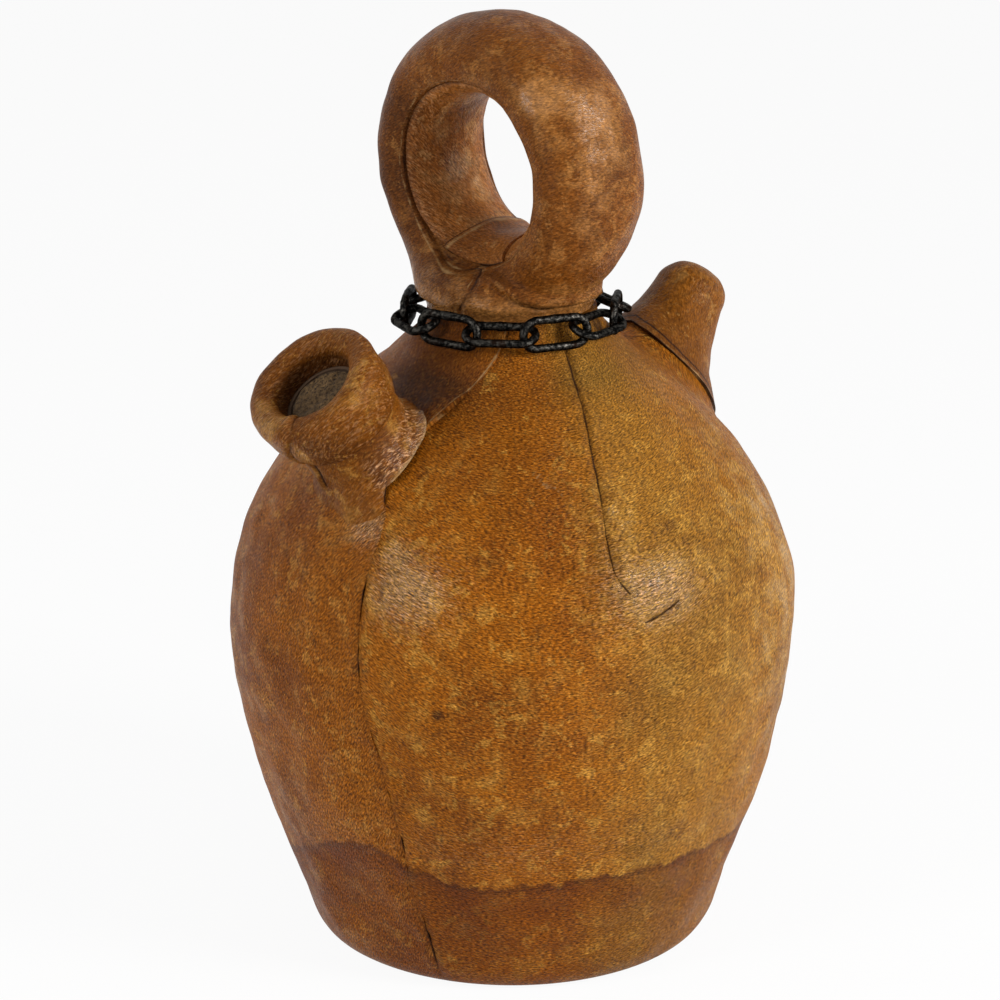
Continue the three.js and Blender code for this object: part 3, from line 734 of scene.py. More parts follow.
tube_radius, lip_foot = 18.5, 17.7
lip_middle, lip_round, lip_height = 18.8, 5, 34.7
sleeve_thick, sleeve_radius, double_thick = 1.5, 20, 0.9
skirt_reach, edge_stands = 24, 1.7
mouth_lay = (-0.9, -0.2, 0.0)
mouth_hide = tanned_hide("mouth_hide", "#744009", "#b3823c", "#562b06", "#652f07", 0.42, mouth_lay, 0.5)
mouth_wall = bezier([(20.5, -10), (tube_radius, 0), (tube_radius, 14), (tube_radius, lip_foot)], 120)
lip_edge = lip_middle + lip_round
band = bezier([(tube_radius, lip_foot), (21.15, lip_foot), (lip_edge, 29.7), (lip_edge, lip_height)], 20)[1:]
lip_turn = np.linspace(0, math.pi, 19)[1:]
lip = np.stack([lip_middle + lip_round * np.cos(lip_turn), lip_height + lip_round * np.sin(lip_turn)], 1)
inside = np.stack([np.full(6, lip_middle - lip_round), np.linspace(33.7, 28.7, 6)], 1)
turns = np.linspace(0, 2 * math.pi, 201)[:-1]
raw_edge = raw_part(turns)


def mouth_root(points):
    lying, slope = body_field(points)
    turn = collar_turn(points, mouth_origin, mouth_axis) % (2 * math.pi)
    raw, low = raw_part(turn), low_part(turn)
    sunk = 0.9 - 1.5 * ramp(from_axis(points, mouth_origin, mouth_axis) - 4 * low, 20, 24)
    tube, tube_slope = collar_field(points, mouth_origin, mouth_axis, mouth_wall)
    blend = 5.5 + 6 * low - 3.3 * between(turn, 90, 120, 178, 190)
    raised = raw * 1.2 + (1 - raw) * sunk
    return joined((tube - double_thick * double_part(turn), tube_slope), (lying - raised, slope), blend)


# from the edge on the body, inwards and up the tube to the foot of the lip
skirt_edge = skirt_reach + 4 * low_part(turns) + 0.4 * np.sin(5 * turns + 1.0) \
    - 3.9 * raw_edge * (1 - ramp(np.degrees(turns), 280, 325))
skirt_rows = np.linspace(1, 0, 34)[:, None]
skirt, around = collar_grid(tube_radius + (skirt_edge - tube_radius) * skirt_rows,
                            lip_foot * (1 - skirt_rows) ** 1.6 + 0 * turns, turns, mouth_origin, mouth_axis)
edge_row = skirt[0].copy()
for _ in range(12):
    distance, slope = body_field(edge_row)
    edge_row -= mouth_axis * ((distance - edge_stands) / np.maximum(slope @ mouth_axis, 0.3))[:, None]
drop = (edge_row - skirt[0]) @ mouth_axis
skirt, skirt_normal = settle(skirt + (drop * skirt_rows)[..., None] * mouth_axis, mouth_root)

# over the lip and in
section = np.concatenate([band, lip, inside])
double = double_thick * double_part(turns) * (1 - ramp(section[:, 1:], lip_foot, 33))
double[len(band):] = 0
upper, around = collar_grid(section[:, :1] + double, section[:, 1:] + 0 * turns, turns,
                            mouth_origin, mouth_axis)
outer = np.concatenate([skirt, upper])
normal = np.concatenate([skirt_normal, section_normals(section, around, mouth_axis)])
row = np.arange(len(outer))[:, None]
foot_row = len(skirt)
on_lip = ramp(row, foot_row - 1, foot_row + 3) * np.ones(len(turns))
at_root = 1 - ramp(row, foot_row - 16, foot_row - 4) * np.ones(len(turns))
lift = (0.22 * ripple(outer, 20, 21) + 0.08 * ripple(outer, 7, 23)) * (1 - at_root)
lift += 0.25 * ripple(outer, 6, 22) * at_root * raw_edge
up_tube = (outer - mouth_origin) @ mouth_axis
up_tube[foot_row + len(band) + 9:] = lip_height + lip_round
seam_turn = np.interp(up_tube, [1, 5, 13, 18, 22, 29, 36, 39], [172, 176, 183, 183, 182, 187, 201, 203])
from_seam = sleeve_radius * (turns - np.radians(seam_turn))
off_body = ramp(up_tube, 1.5, 4.0)
lift += off_body * (0.5 * bell(from_seam + 2.4, 2.4) - 0.3 * bell(from_seam - 3, 3.0))
lift -= off_body * 0.8 * bell(from_seam, 0.8)
held = 1 - ramp(row, len(outer) - 6, len(outer) - 1)
outer = outer + normal * (np.clip(lift, -1.0, 1.0) * held)[..., None]
from_edge = np.concatenate([np.linalg.norm(skirt - skirt[0], axis=-1), np.full(upper.shape[:2], far_mm)])
# a dark line painted as shade along the foot of the lip, fainter past turn 215
under_lip = np.linalg.norm(outer - outer[foot_row - 1], axis=-1) + 0.2
under_lip += 0.5 * ramp(np.degrees(turns), 215, 245)
down_line = np.where(on_lip > 0.5, far_mm, np.maximum(np.abs(from_seam) - 0.2, 0) + 1.5 * (1 - off_body))
pale_edge = between(turns, 240, 254, 325, 338)
# lip_tone: paler on the lip's left; darker at the foot of the band, painted as the shade under the lip;
# darker on the band from turn 200 to 262; and painted light, partly wear, on the right of the lip roll where
# the key lamp falls
lip_tone = 0.6 * between(turns, 130, 150, 198, 204) - 0.2 - 0.3 * bell(row - foot_row, 6) \
    - 0.35 * between(turns, 200, 206, 238, 262) * (1 - ramp(row, foot_row + 12, foot_row + 24)) \
    + 0.25 * between(turns, 225, 245, 300, 330) * bell(row - foot_row - 24, 7)
marks = {
    "seam_mm": np.where(on_lip > 0.5, np.abs(from_seam) + 0.2, far_mm),
    "fold_mm": np.minimum(np.minimum(under_lip, down_line),
                          np.where(raw_edge > 0.2, from_edge * 1.2 + 5 * pale_edge, far_mm)),
    "edge_mm": np.where(pale_edge > 0.3, from_edge + 0.3, far_mm),
    # tone: painted shade fills the turned-in lip inside the mouth and the sleeve below the lip on the right;
    # the skirt is paler by its raw edge
    "tone": on_lip * lip_tone + 0.2 * pale_edge * bell(from_edge - 5, 7)
            - 0.75 * ramp(row, len(outer) - 12, len(outer) - 3)
            - 0.55 * (1 - on_lip) * between(turns, 222, 240, 268, 285) * ramp(row, 6, 16),
    "gathers_and_glints": at_root * (0.15 + 1.1 * raw_edge) + 0.3 * on_lip,
}
inner = outer - normal * sleeve_thick
mouth = leather_shell("mouth_hide_sleeve", outer, inner, marks, mouth_hide, closed=True)
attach(mouth, "vessel")
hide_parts("mouth_sleeve")


# Spout sleeve
# A cone of hide over the drinking spout, with a small hole at the tip. Its root runs out in
# a wide fillet on to the shoulder, where the cut edge is sewn down with dark thread.

tip_round = 9.5
spout_lay = (0.3, -0.9, 0.0)
spout_tan = tanned_hide("tan_hide_spout", "#7e490d", "#ab7c40", "#5d3209", "#652f07", 0.40, spout_lay, 0.5)
tip_turn = np.linspace(0, math.pi / 2, 14)[1:-1]
tip = np.stack([spout_radius - tip_round + tip_round * np.cos(tip_turn),
                spout_knee + tip_round * np.sin(tip_turn)], 1)
hole = np.array([(3.5, 45.5), (3.1, 45.3), (3.0, 44.6), (3.0, 43.0)])
section = np.concatenate([tip, hole])
upper, around = collar_grid(section[:, :1] + 0 * turns, section[:, 1:] + 0 * turns, turns,
                            spout_origin, spout_axis)
skirt_rows = np.linspace(0, 1, 46)[:, None]
skirt_foot = spout_seam_height(spout_origin + around) - 1.2
skirt_height = skirt_foot + (spout_knee - 0.2 - skirt_foot) * skirt_rows
skirt_radius = np.interp(skirt_height, spout_wall[:, 1], spout_wall[:, 0]) + 2
skirt = spout_origin + skirt_height[..., None] * spout_axis + skirt_radius[..., None] * around
skirt, skirt_normal = settle(skirt, spout_root, rounds=12)
skirt += skirt_normal * (1.2 * (1 - ramp(skirt_height - skirt_foot, 3, 13)))[..., None]
upper_normal = section_normals(np.concatenate([spout_wall[-3:-2], section]), around, spout_axis)[1:]
outer = np.concatenate([skirt, upper])
normal = np.concatenate([skirt_normal, upper_normal])
row = np.arange(len(outer))[:, None]
lift = 0.2 * ripple(outer, 18, 31) + 0.06 * ripple(outer, 7, 32)
held = 1 - ramp(row, len(outer) - 8, len(outer) - 4)
outer = outer + normal * (np.clip(lift, -0.8, 0.8) * held)[..., None]
from_edge = np.concatenate([np.linalg.norm(skirt - skirt[0], axis=-1), np.full(upper.shape[:2], far_mm)])
marks = {
    "seam_mm": from_edge,
    "fold_mm": np.where(from_edge < 50, from_edge - 2.8, far_mm),
    "edge_mm": from_edge + 0.9,
    "tone": -0.25 + 0.3 * bell(row - 40, 14) * np.ones(len(turns)),
}
inner = outer - normal * sleeve_thick
spout = leather_shell("spout_hide_sleeve", outer, inner, marks, spout_tan, closed=True)
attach(spout, "vessel")
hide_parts("spout_sleeve")


# Ring handle cover
# The hide drawn round the clay ring and its stem, from the neck up and over to the two
# seams at the rims of the hole. It flows into the neck on one side and folds into a deep
# crease under the other limb; one slanting seam closes it at the neck.

ring_lean = math.radians(4.5)
ring_centre = np.array([-2, 0, 276.4])
ring_up = np.array([-math.sin(ring_lean), 0, math.cos(ring_lean)])
ring_axis = np.array([math.cos(ring_lean), 0, math.sin(ring_lean)])
across_ring = np.array([0.0, 1.0, 0.0])
ring_radius, rim_radius, rim_slant = 38.3, 31.4, 0.74
ring_half = np.array([13.7, 21.7])
stem_radius, stem_foot, stem_top = 32.4, 233.5, 243
stem = np.concatenate([
    [(neck_radius, 200)],
    bezier([(neck_radius, neck_height), (neck_radius, 230.25),
            (stem_radius, 230.25), (stem_radius, stem_foot)], 24),
    bezier([(stem_radius, stem_foot), (stem_radius, 238.25),
            (stem_radius, stem_top), (17, stem_top)], 40)[1:],
    [(0, stem_top)],
])


# an oval section swept round the hole
def ring_field(points):
    arm = points - ring_centre
    across, upward = arm @ ring_axis, arm @ ring_up
    reach = np.hypot(upward, arm[:, 1])
    section = np.stack([reach - ring_radius, across], 1)
    near, steep = section / ring_half, section / ring_half ** 2
    steep_size = np.maximum(np.linalg.norm(steep, axis=1), 1e-6)
    size = np.linalg.norm(near, axis=1)
    steep = steep / steep_size[:, None]
    outward = (upward[:, None] * ring_up + arm[:, 1:2] * across_ring) / np.maximum(reach, 1e-6)[:, None]
    return size * (size - 1) / steep_size, steep[:, :1] * outward + steep[:, 1:] * ring_axis


# a little slimmer on the side that is turned to the spout and the front
def stem_field(points):
    radius = np.maximum(np.hypot(points[:, 0], points[:, 1]), 1e-6)
    slim = 1 + np.cos(np.arctan2(points[:, 1], points[:, 0]) - math.radians(310))
    flat = np.stack([radius + 0.75 * slim, points[:, 2]], 1)
    best, away = np.full(len(points), 1e9), np.zeros((len(points), 2))
    for start, stop in zip(stem[:-1], stem[1:]):
        run = stop - start
        along = np.clip((flat - start) @ run / (run @ run), 0, 1)
        gap = flat - start - along[:, None] * run
        distance = np.hypot(gap[:, 0], gap[:, 1])
        side = np.where(gap @ np.array([run[1], -run[0]]) >= 0, 1.0, -1.0)
        near = distance < np.abs(best) - 1e-9
        best = np.where(near, side * distance, best)
        outward = np.where(distance[:, None] > 1e-5, gap * (side / np.maximum(distance, 1e-5))[:, None],
                           np.array([run[1], -run[0]]) / np.hypot(*run))
        away = np.where(near[:, None], outward, away)
    flat_way = points[:, :2] / radius[:, None] * away[:, :1]
    return best, np.concatenate([flat_way, away[:, 1:]], 1)


# the fillet under the ring is narrow in front, where the crease is, and wide behind
def handle_field(points):
    blend = 8.5 + 4.5 * np.tanh(points[:, 1] / 8)
    return joined(ring_field(points), stem_field(points), blend)


# mm out from the seam at the rim of the hole
def off_ring_rim(points):
    arm = points - ring_centre
    return (np.hypot(arm @ ring_up, arm[:, 1]) - rim_radius) / rim_slant


def face_outwards(mesh):
    shaping = bmesh.new()
    shaping.from_mesh(mesh)
    bmesh.ops.recalc_face_normals(shaping, faces=shaping.faces)
    shaping.to_mesh(mesh)
    shaping.free()


# a ring and a post, made one skin and settled on to the joined form
swing = np.linspace(0, 2 * math.pi, 121)[:-1]
round_section = np.linspace(0, 2 * math.pi, 61)[:-1]
outward = np.cos(swing)[:, None] * ring_up + np.sin(swing)[:, None] * across_ring
torus = (ring_centre + ring_radius * outward)[:, None] \
    + ring_half[0] * np.cos(round_section)[None, :, None] * outward[:, None] \
    + ring_half[1] * np.sin(round_section)[None, :, None] * ring_axis
torus_faces = grid_quads(*torus.shape[:2], closed=True, looped=True).reshape(-1, 4).tolist()
post = turned(np.concatenate([[(neck_radius, 221)], stem[1:-1:3]]), np.linspace(0, 2 * math.pi, 73)[:-1])
first_of_post = torus.shape[0] * torus.shape[1]
post_faces = [[corner + first_of_post for corner in face] for face in capped(*post.shape[:2])]
blank = bpy.data.meshes.new("ring_blank")
corners = np.concatenate([torus.reshape(-1, 3), post.reshape(-1, 3)])
blank.from_pydata(corners.tolist(), [], torus_faces + post_faces)
rough = bpy.data.objects.new("ring_blank", blank)
scene.collection.objects.link(rough)
face_outwards(blank)
remesh = rough.modifiers.new("one_skin", "REMESH")
remesh.mode = "VOXEL"
remesh.voxel_size = 0.78
skin = bpy.data.meshes.new_from_object(rough.evaluated_get(bpy.context.evaluated_depsgraph_get()))
bpy.data.objects.remove(rough)
shaping = bmesh.new()
shaping.from_mesh(skin)
points, normal = settle(np.array([v.co[:] for v in shaping.verts]), handle_field, rounds=10)
off_rim = off_ring_rim(points)
neck_seam = settle(np.array([
    (-19.5, -5.7, 244.0), (-23, -8.5, 242), (-27, -10.5, 240.5), (-30, -10.0, 237.5), (-31.4, -7.5, 233.3),
    (-30.5, -4.5, 228)]), handle_field)[0]
far_neck_seam = settle(neck_seam * (-1, -1, 1), handle_field)[0]
limb_crease = settle(np.array([
    (-26.5, -15.5, 240.5), (-24.5, -19.5, 237.6), (-22.5, -22.8, 235.2), (-19.5, -26, 233.2),
    (-15, -28.8, 231.8), (-8, -31, 231), (2, -31.5, 230.8), (12, -29.5, 231.2)]), handle_field)[0]
above_neck = ramp(points[:, 2], neck_height, 231)
lift = (0.22 * ripple(points, 26, 41) + 0.08 * ripple(points, 9, 42)) * above_neck
lift -= 1.3 * ramp(-off_rim, -0.5, 0.5)
lift += 0.35 * bell(off_rim - 2.2, 1.8)
from_crease = beside_line(points, limb_crease)
point_turn, crease_turn = (np.arctan2(p[:, 1], p[:, 0]) % (2 * math.pi) for p in (points, limb_crease))
upper_side = ramp(points[:, 2] - np.interp(point_turn, crease_turn, limb_crease[:, 2]), 0, 1.5)
lift += 1.5 * upper_side * bell(from_crease - 2.6, 3.0) - 0.4 * bell(from_crease, 1.0)
lift -= 0.6 * (bell(beside_line(points, neck_seam), 1.0) + bell(beside_line(points, far_neck_seam), 1.0))
points = points + normal * lift[:, None]

# the foot is drawn in to leave room for the chain, and cut off at the neck
room_top = 232.5
room = np.interp(points[:, 2], [neck_height, 228.5, 230.3, room_top], [29.4, 29.8, 31.1, 34.2])
share = np.where(points[:, 2] < room_top, room / np.hypot(points[:, 0], points[:, 1]), 1)
points[:, :2] *= np.minimum(share, 1)[:, None]
for vertex, moved_to in zip(shaping.verts, points):
    vertex.co = moved_to
bmesh.ops.bisect_plane(shaping, geom=shaping.verts[:] + shaping.edges[:] + shaping.faces[:], dist=1e-4,
                       plane_co=(0, 0, neck_height + 0.3), plane_no=(0, 0, 1), clear_inner=True)
bmesh.ops.holes_fill(shaping, edges=[edge for edge in shaping.edges if edge.is_boundary], sides=0)
bmesh.ops.recalc_face_normals(shaping, faces=shaping.faces)
shaping.verts.index_update()
points = np.array([v.co[:] for v in shaping.verts])
faces = [[v.index for v in face.verts] for face in shaping.faces]
shaping.free()


# a round spot that fades out, used for places rubbed by hands and for a painted glint
def glow(points, centre, width):
    return np.exp(-((points - centre) ** 2).sum(-1) / width ** 2)


off_rim = off_ring_rim(points)
sewn = np.minimum(beside_line(points, neck_seam), beside_line(points, far_neck_seam))
rubbed_spots = (((-6, -46, 298), 9, 1.3), ((-18, -37, 306), 8, 0.8),
                ((-24, -33, 304), 5, 0.8), ((-8, -50, 276), 14, 0.4))
marks = {
    "seam_mm": np.abs(off_rim),
    "fold_mm": np.maximum(np.minimum(sewn - 0.12, beside_line(points, limb_crease[2:])), 0),
    "edge_mm": np.minimum(2.2 * np.abs(off_rim - 1.4) + 0.7, 2.2 * np.abs(sewn - 1.6) + 0.8),
    # tone: rubbed spots on the front limb; darker on the limb behind (y above 10 mm); the post below the ring
    # painted lighter against the shade of the ring and the chain; painted shadow just above the limb's crease
    "tone": 0.1 + sum(amount * glow(points, centre, width) for centre, width, amount in rubbed_spots)
            - 0.45 * ramp(points[:, 1], 10, 50) + 0.8 * ramp(-points[:, 2], -243, -231)
            - 0.5 * ramp(points[:, 2], 231, 234) * bell(beside_line(points, limb_crease) - 4, 4),
}
ring_lay = (-0.5, 0.2, 0.0)
handle_hide = tanned_hide("handle_hide", "#6f3d0f", "#a4703a", "#46240b", "#713809", 0.40, ring_lay, 0.6)
cover = leather_mesh("ring_cover_hide", points, faces, marks, handle_hide)
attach(cover, "vessel")
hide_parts("handle_cover")


# Ring lining and saddle
# Two strips of thinner hide in the hole of the ring: a long one round the top and a short
# saddle across the bottom, where the hand bears. Their edges meet the cover in the rim seams.

# half the turn that a strip takes up across the ring, and the mean radius of its bends
# across and along the ring
strip_half, bend_across, bend_along = 60.4, 17, 26


def ring_strip(first, last, rows, columns):
    swing, wrap = np.meshgrid(np.radians(np.linspace(first, last, rows)),
                              np.radians(np.linspace(-strip_half, strip_half, columns)), indexing="ij")
    outward = -np.cos(swing)[..., None] * ring_up + np.sin(swing)[..., None] * across_ring
    strip = ring_centre + (ring_radius - ring_half[0] * np.cos(wrap))[..., None] * outward \
        + (ring_half[1] * np.sin(wrap))[..., None] * ring_axis
    strip, normal = settle(strip, handle_field)
    from_rim = bend_across * (math.radians(strip_half) - np.abs(wrap))
    from_first, from_last = (bend_along * np.abs(swing - math.radians(end)) for end in (first, last))
    return strip, normal, from_rim, from_first, from_last


lining_lay, lining_thick, saddle_thick = (0.0, 0.8, 0.0), 1.4, 1.35
lining_hide = tanned_hide("lining_hide", "#a5652b", "#b98c58", "#744017", "#713809", 0.40, lining_lay, 0.6)
strip, normal, from_rim, from_first, from_last = ring_strip(25, 335, 190, 50)
lift = -0.1 + (0.12 * ripple(strip, 12, 51) + 0.06 * ripple(strip, 6, 52)) * ramp(from_rim, 1, 7)
lift -= 0.9 * bell(from_rim, 1.6) + 0.5 * bell(np.minimum(from_first, from_last), 4)
painted_glint = glow(strip, (-3.3, 24.4, 272.7), 6)
# tone: painted highlight along the middle of the strip, where it bulges, and a painted glint, which also
# raises pale ridges
marks = {"seam_mm": from_rim, "tone": -0.3 + 0.5 * bell(from_rim - 14, 8) + 0.4 * painted_glint,
         "gathers_and_glints": 0.5 * bell(from_rim, 9) + 1.3 * painted_glint}
outer, inner = strip + normal * lift[..., None], strip - normal * lining_thick
lining = leather_shell("ring_lining_hide", outer, inner, marks, lining_hide)
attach(lining, "vessel")
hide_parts("handle_lining")

# the saddle's end at the back shows its cut edge
strip, normal, from_rim, from_first, from_last = ring_strip(-26.5, 26.5, 44, 50)
lift = 0.35 + 0.2 * ripple(strip, 12, 53) - 0.9 * bell(from_rim, 1.6)
lift += 0.3 * bell(np.minimum(from_first, from_last) - 1.5, 1.5)
marks = {"seam_mm": from_rim, "fold_mm": from_last, "edge_mm": np.abs(from_last - 1.6) + 0.4,
         "tone": np.full(from_rim.shape, -0.35)}
outer, inner = strip + normal * lift[..., None], strip - normal * saddle_thick
saddle = leather_shell("ring_saddle_hide", outer, inner, marks, lining_hide)
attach(saddle, "vessel")
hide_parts("handle_saddle")


# Cork stopper
# A tapered plug cut from bark cork and pushed down below the lip, so that its worn, dusty
# end shows in the mouth.

# Bark cork: corky granules 1.5 to 3 mm, buff and olive brown and dirty in
# the pits, with no gloss.
cork_bark, tree = new_material("bark_cork")
place = add_node(tree, "ShaderNodeTexCoord", give="Object")
granule = add_node(tree, "ShaderNodeTexVoronoi", {"Vector": place, "Scale": 1 / 0.0022}, give="Distance")
dust = add_node(tree, "ShaderNodeTexNoise",
                {"Vector": place, "Scale": 1 / 0.0011, "Detail": 4.0, "Roughness": 0.7}, give="Fac")
dirt = add_node(tree, "ShaderNodeTexNoise", {"Vector": place, "Scale": 1 / 0.009, "Detail": 3.0}, give="Fac")
colour = laid_over(tree, linear("#22150a"), "#95754c", dust, 0.36, 0.66, 0.0, 1.0, soft=False)
colour = laid_over(tree, colour, "#42301c", dirt, 0.35, 0.62, 0.8, 0.0, soft=False)
pits = add_node(tree, "ShaderNodeMath", {0: granule, 1: 0.8, 2: dust}, operation="MULTIPLY_ADD")
pits = add_node(tree, "ShaderNodeBump", {"Height": pits, "Strength": 0.9, "Distance": 0.0012})
bark = add_node(tree, "ShaderNodeBsdfPrincipled", {"Base Color": colour, "Roughness": 0.95, "Normal": pits})
add_node(tree, "ShaderNodeOutputMaterial", {"Surface": bark}, give=None)

section = np.array([(0.01, 29.3), (4, 29.35), (8, 29.3), (10.6, 29.1), (11.8, 28.6), (12.5, 27.6),
                    (12.55, 24), (12.0, 16), (11.4, 8), (11.1, 5.0), (10.4, 4.1), (7, 3.8), (0.01, 3.7)])
fine = np.linspace(0, len(section) - 1, 61)
section = np.stack([np.interp(fine, np.arange(len(section)), section[:, k]) for k in (0, 1)], 1)
turns = np.linspace(0, 2 * math.pi, 97)[:-1]
grid, around = collar_grid(section[:, :1] + 0 * turns, section[:, 1:] + 0 * turns, turns,
                           mouth_origin, mouth_axis)
crumb = 0.22 * ripple(grid, 3.0, 61) + 0.3 * ripple(grid, 7.0, 62)
top = ramp(section[:, 1], 28.2, 29.0)[:, None]
flank = (1 - top) * ramp(section[:, 0], 2, 6)[:, None]
grid = grid + (crumb * top)[..., None] * mouth_axis - 0.15 * (np.abs(crumb) * flank)[..., None] * around
cork_mesh = bpy.data.meshes.new("cork_plug")
cork_mesh.from_pydata((grid.reshape(-1, 3) * 0.001).tolist(), [], capped(*grid.shape[:2]))
face_outwards(cork_mesh)
cork_mesh.polygons.foreach_set("use_smooth", [True] * len(cork_mesh.polygons))
cork_mesh.materials.append(cork_bark)
cork = bpy.data.objects.new("cork_plug", cork_mesh)
scene.collection.objects.link(cork)
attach(cork, "stopper")
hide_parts("cork_stopper")


# Chain collar
# Twelve oval links of blackened iron wire in a loop round the neck, upright and flat by
# turns. Each link is bent from wire and closed by a forge weld in one of its long sides.

# Blackened forge iron: near black scale, a little rough, worn to grey on the high spots,
# with a trace of brown rust in the pits.
black_iron, tree = new_material("blackened_iron")
place = add_node(tree, "ShaderNodeTexCoord", give="Object")
scale_pits = add_node(tree, "ShaderNodeTexNoise",
                      {"Vector": place, "Scale": 1 / 0.0013, "Detail": 4.0, "Roughness": 0.7}, give="Fac")
rust = add_node(tree, "ShaderNodeTexNoise", {"Vector": place, "Scale": 1 / 0.006, "Detail": 3.0}, give="Fac")
colour = laid_over(tree, linear("#0b0b0b"), "#4b4843", scale_pits, 0.46, 0.66, 0.0, 1.0, soft=False)
colour = laid_over(tree, colour, "#2c1c12", rust, 0.55, 0.72, 0.0, 0.5, soft=False)
worn = add_node(tree, "ShaderNodeMapRange", {"Value": scale_pits, 1: 0.3, 2: 0.7, 3: 0.5, 4: 0.24})
relief = add_node(tree, "ShaderNodeBump", {"Height": scale_pits, "Strength": 0.8, "Distance": 0.0004})
forged = add_node(tree, "ShaderNodeBsdfPrincipled",
                  {"Base Color": colour, "Metallic": 1.0, "Specular Tint": (0.45, 0.45, 0.45, 1.0),
                   "Roughness": worn, "Normal": relief})
add_node(tree, "ShaderNodeOutputMaterial", {"Surface": forged}, give=None)

link_sizes = {"Length": 2 * 0.011784, "Width": 0.0097, "Wire": 0.0029, "Weld": 0.14, "Hammering": 0.0003,
              "Loop Radius": 0.036047, "Height": 0.224759, "Turn": 0.0, "Tilt": 0.0, "Seed": 0.0}
link_tree = bpy.data.node_groups.new("iron_link", "GeometryNodeTree")
for label, value in link_sizes.items():
    socket = link_tree.interface.new_socket(label, in_out="INPUT", socket_type="NodeSocketFloat")
    socket.default_value = value
link_tree.interface.new_socket("Geometry", in_out="OUTPUT", socket_type="NodeSocketGeometry")
given = add_node(link_tree, "NodeGroupInput", give=None)

# the path of the wire: a stadium, its ends just short of half round
end_radius = add_node(link_tree, "ShaderNodeMath", {0: given["Width"], 1: 0.4995}, operation="MULTIPLY")
bent = add_node(link_tree, "GeometryNodeCurvePrimitiveQuadrilateral",
                {"Width": given["Length"], "Height": given["Width"]}, mode="RECTANGLE")
bent = add_node(link_tree, "GeometryNodeFilletCurve",
                {"Curve": bent, "Count": 10, "Limit Radius": True, "Radius": end_radius}, mode="POLY")
bent = add_node(link_tree, "GeometryNodeResampleCurve", {"Curve": bent, "Count": 64}, mode="COUNT")

# the weld: a swelling about 4 mm long half way along one side
weld_half = 0.0022
position = add_node(link_tree, "GeometryNodeInputPosition")
along = add_node(link_tree, "ShaderNodeSeparateXYZ", {0: position}, give=None)
from_weld = add_node(link_tree, "ShaderNodeMath", {0: along["X"], 1: weld_half}, operation="DIVIDE")
from_weld = add_node(link_tree, "ShaderNodeMath", {0: from_weld, 1: 2.0}, operation="POWER")
from_weld = add_node(link_tree, "ShaderNodeMath", {0: from_weld, 1: -1.0}, operation="MULTIPLY")
swell = add_node(link_tree, "ShaderNodeMath", {0: from_weld}, operation="EXPONENT")
one_side = add_node(link_tree, "ShaderNodeMath", {0: along["Y"], 1: 0.0}, operation="GREATER_THAN")
swell = add_node(link_tree, "ShaderNodeMath", {0: swell, 1: one_side}, operation="MULTIPLY")
swell = add_node(link_tree, "ShaderNodeMath", {0: swell, 1: given["Weld"], 2: 1.0}, operation="MULTIPLY_ADD")
wire_radius = add_node(link_tree, "ShaderNodeMath", {0: given["Wire"], 1: 0.5}, operation="MULTIPLY")
wire = add_node(link_tree, "GeometryNodeCurvePrimitiveCircle",
                {"Resolution": 12, "Radius": wire_radius}, mode="RADIUS")
rod = add_node(link_tree, "GeometryNodeCurveToMesh", {"Curve": bent, "Profile Curve": wire, "Scale": swell})

# dents of the hammer, other ones on each link
dents = add_node(link_tree, "ShaderNodeTexNoise", {"W": given["Seed"], "Scale": 1 / 0.0032, "Detail": 1.0},
                 give="Fac", noise_dimensions="4D")
dents = add_node(link_tree, "ShaderNodeMath", {0: dents, 1: 0.5}, operation="SUBTRACT")
dents = add_node(link_tree, "ShaderNodeMath", {0: dents, 1: given["Hammering"]}, operation="MULTIPLY")
facing = add_node(link_tree, "GeometryNodeInputNormal")
dents = add_node(link_tree, "ShaderNodeVectorMath", {0: facing, "Scale": dents}, operation="SCALE")
rod = add_node(link_tree, "GeometryNodeSetPosition", {"Geometry": rod, "Offset": dents})

# laid along the loop, tilted in its place, then swung round the neck
rod = add_node(link_tree, "GeometryNodeTransform", {"Geometry": rod, "Rotation": (0.0, 0.0, math.pi / 2)})
for axis, angle, way, distance in (("Y", "Tilt", "X", "Loop Radius"), ("Z", "Turn", "Z", "Height")):
    rotation = add_node(link_tree, "ShaderNodeCombineXYZ", {axis: given[angle]})
    rotation = add_node(link_tree, "FunctionNodeEulerToRotation", {0: rotation})
    shift = add_node(link_tree, "ShaderNodeCombineXYZ", {way: given[distance]})
    rod = add_node(link_tree, "GeometryNodeTransform",
                   {"Geometry": rod, "Rotation": rotation, "Translation": shift})
rod = add_node(link_tree, "GeometryNodeRealizeInstances", {"Geometry": rod})
rod = add_node(link_tree, "GeometryNodeSetShadeSmooth", {0: rod})
rod = add_node(link_tree, "GeometryNodeSetMaterial", {"Geometry": rod, "Material": black_iron})
add_node(link_tree, "NodeGroupOutput", {"Geometry": rod}, give=None)


def grown(name, node_tree, sizes):
    holder = bpy.data.objects.new(name + "_start", bpy.data.meshes.new("link_start"))
    scene.collection.objects.link(holder)
    modifier = holder.modifiers.new(name, "NODES")
    modifier.node_group = node_tree
    sockets = {item.name: item.identifier for item in node_tree.interface.items_tree
               if item.in_out == "INPUT"}
    for label, value in sizes.items():
        modifier[sockets[label]] = value
    bpy.context.view_layer.update()
    mesh = bpy.data.meshes.new_from_object(holder.evaluated_get(bpy.context.evaluated_depsgraph_get()))
    bpy.data.objects.remove(holder)
    mesh.name = name
    piece = bpy.data.objects.new(name, mesh)
    scene.collection.objects.link(piece)
    return piece


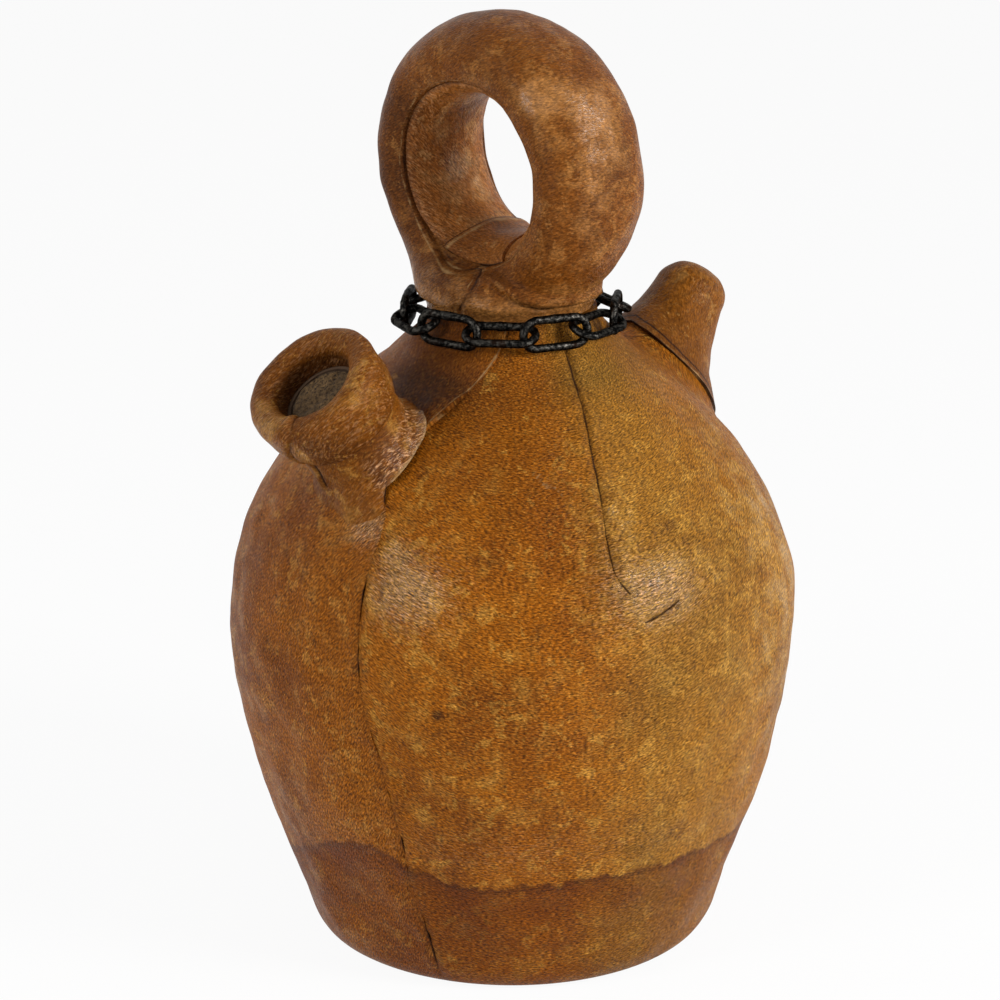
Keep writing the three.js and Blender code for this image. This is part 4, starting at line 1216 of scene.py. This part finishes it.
link_count, first_turn, flat_tilt = 12, 9.6, 22
for number in range(1, link_count + 1):
    upright = number % 2 == 1
    link_turn = first_turn + 360 / link_count * (number - 1)
    link = grown(f"iron_link_{number:02d}", link_tree, {
        **link_sizes, "Turn": math.radians(link_turn), "Seed": float(number),
        "Tilt": math.pi / 2 if upright else math.radians(flat_tilt)})
    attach(link, f"link_{number:02d}")
    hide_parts(f"chain_link_{number:02d}")


# Studio
# A pale floor that runs out of the picture, with two large soft lamps in front: the
# stronger on the spout's side, the weaker on the mouth's side.

white = (1.0, 1.0, 1.0, 1.0)


# what the eye and the polish see of the paper, apart from the light it sends back
def seen_directly(tree):
    ray = add_node(tree, "ShaderNodeLightPath", give=None)
    seen = add_node(tree, "ShaderNodeMath", {0: ray["Is Camera Ray"], 1: ray["Is Glossy Ray"]},
                    operation="MAXIMUM")
    return add_node(tree, "ShaderNodeMath", {0: seen, 1: ray["Is Transmission Ray"]}, operation="MAXIMUM")


floor_half, floor_height = 9, -0.0004
paper_glow, room_light, seen_light = 0.93, 0.30, 1.0
floor_mesh = bpy.data.meshes.new("floor")
floor_mesh.from_pydata([(x * floor_half, y * floor_half, floor_height)
                        for x, y in ((-1, -1), (1, -1), (1, 1), (-1, 1))], [], [(0, 1, 2, 3)])
floor = bpy.data.objects.new("floor", floor_mesh)
scene.collection.objects.link(floor)

# White paper: matt, and lit so evenly that it shows no edge
paper, tree = new_material("white_paper")
share = add_node(tree, "ShaderNodeMath", {0: seen_directly(tree), 1: paper_glow}, operation="MULTIPLY")
matt = add_node(tree, "ShaderNodeBsdfDiffuse", {"Color": linear("#fbfbfa")})
lit = add_node(tree, "ShaderNodeEmission", {"Color": white, "Strength": seen_light})
both = add_node(tree, "ShaderNodeMixShader", {0: share, 1: matt, 2: lit})
add_node(tree, "ShaderNodeOutputMaterial", {"Surface": both}, give=None)
floor_mesh.materials.append(paper)

world = bpy.data.worlds.new("studio")
scene.world = world
world.use_nodes = True
tree = world.node_tree
tree.nodes.clear()
room, bright = (add_node(tree, "ShaderNodeBackground", {"Color": white, "Strength": strength})
                for strength in (room_light, seen_light))
sky = add_node(tree, "ShaderNodeMixShader", {0: seen_directly(tree), 1: room, 2: bright})
add_node(tree, "ShaderNodeOutputWorld", {"Surface": sky}, give=None)

lamp_away, lamp_aim = 1.6, (0, 0, 0.15)
for label, turn_degrees, rise, watts in (("key", 287, 22, 23.0), ("fill", 176, 24, 9.5)):
    lamp = bpy.data.lights.new(label, "AREA")
    lamp.shape = "SQUARE"
    lamp.size = 0.5
    lamp.energy = watts
    stand = bpy.data.objects.new(label, lamp)
    flat, up = math.radians(turn_degrees), math.radians(rise)
    away = np.array([math.cos(flat) * math.cos(up), math.sin(flat) * math.cos(up), math.sin(up)]) * lamp_away
    stand.location = away + lamp_aim
    stand.rotation_euler = (math.pi / 2 - up, 0, flat + math.pi / 2)
    scene.collection.objects.link(stand)
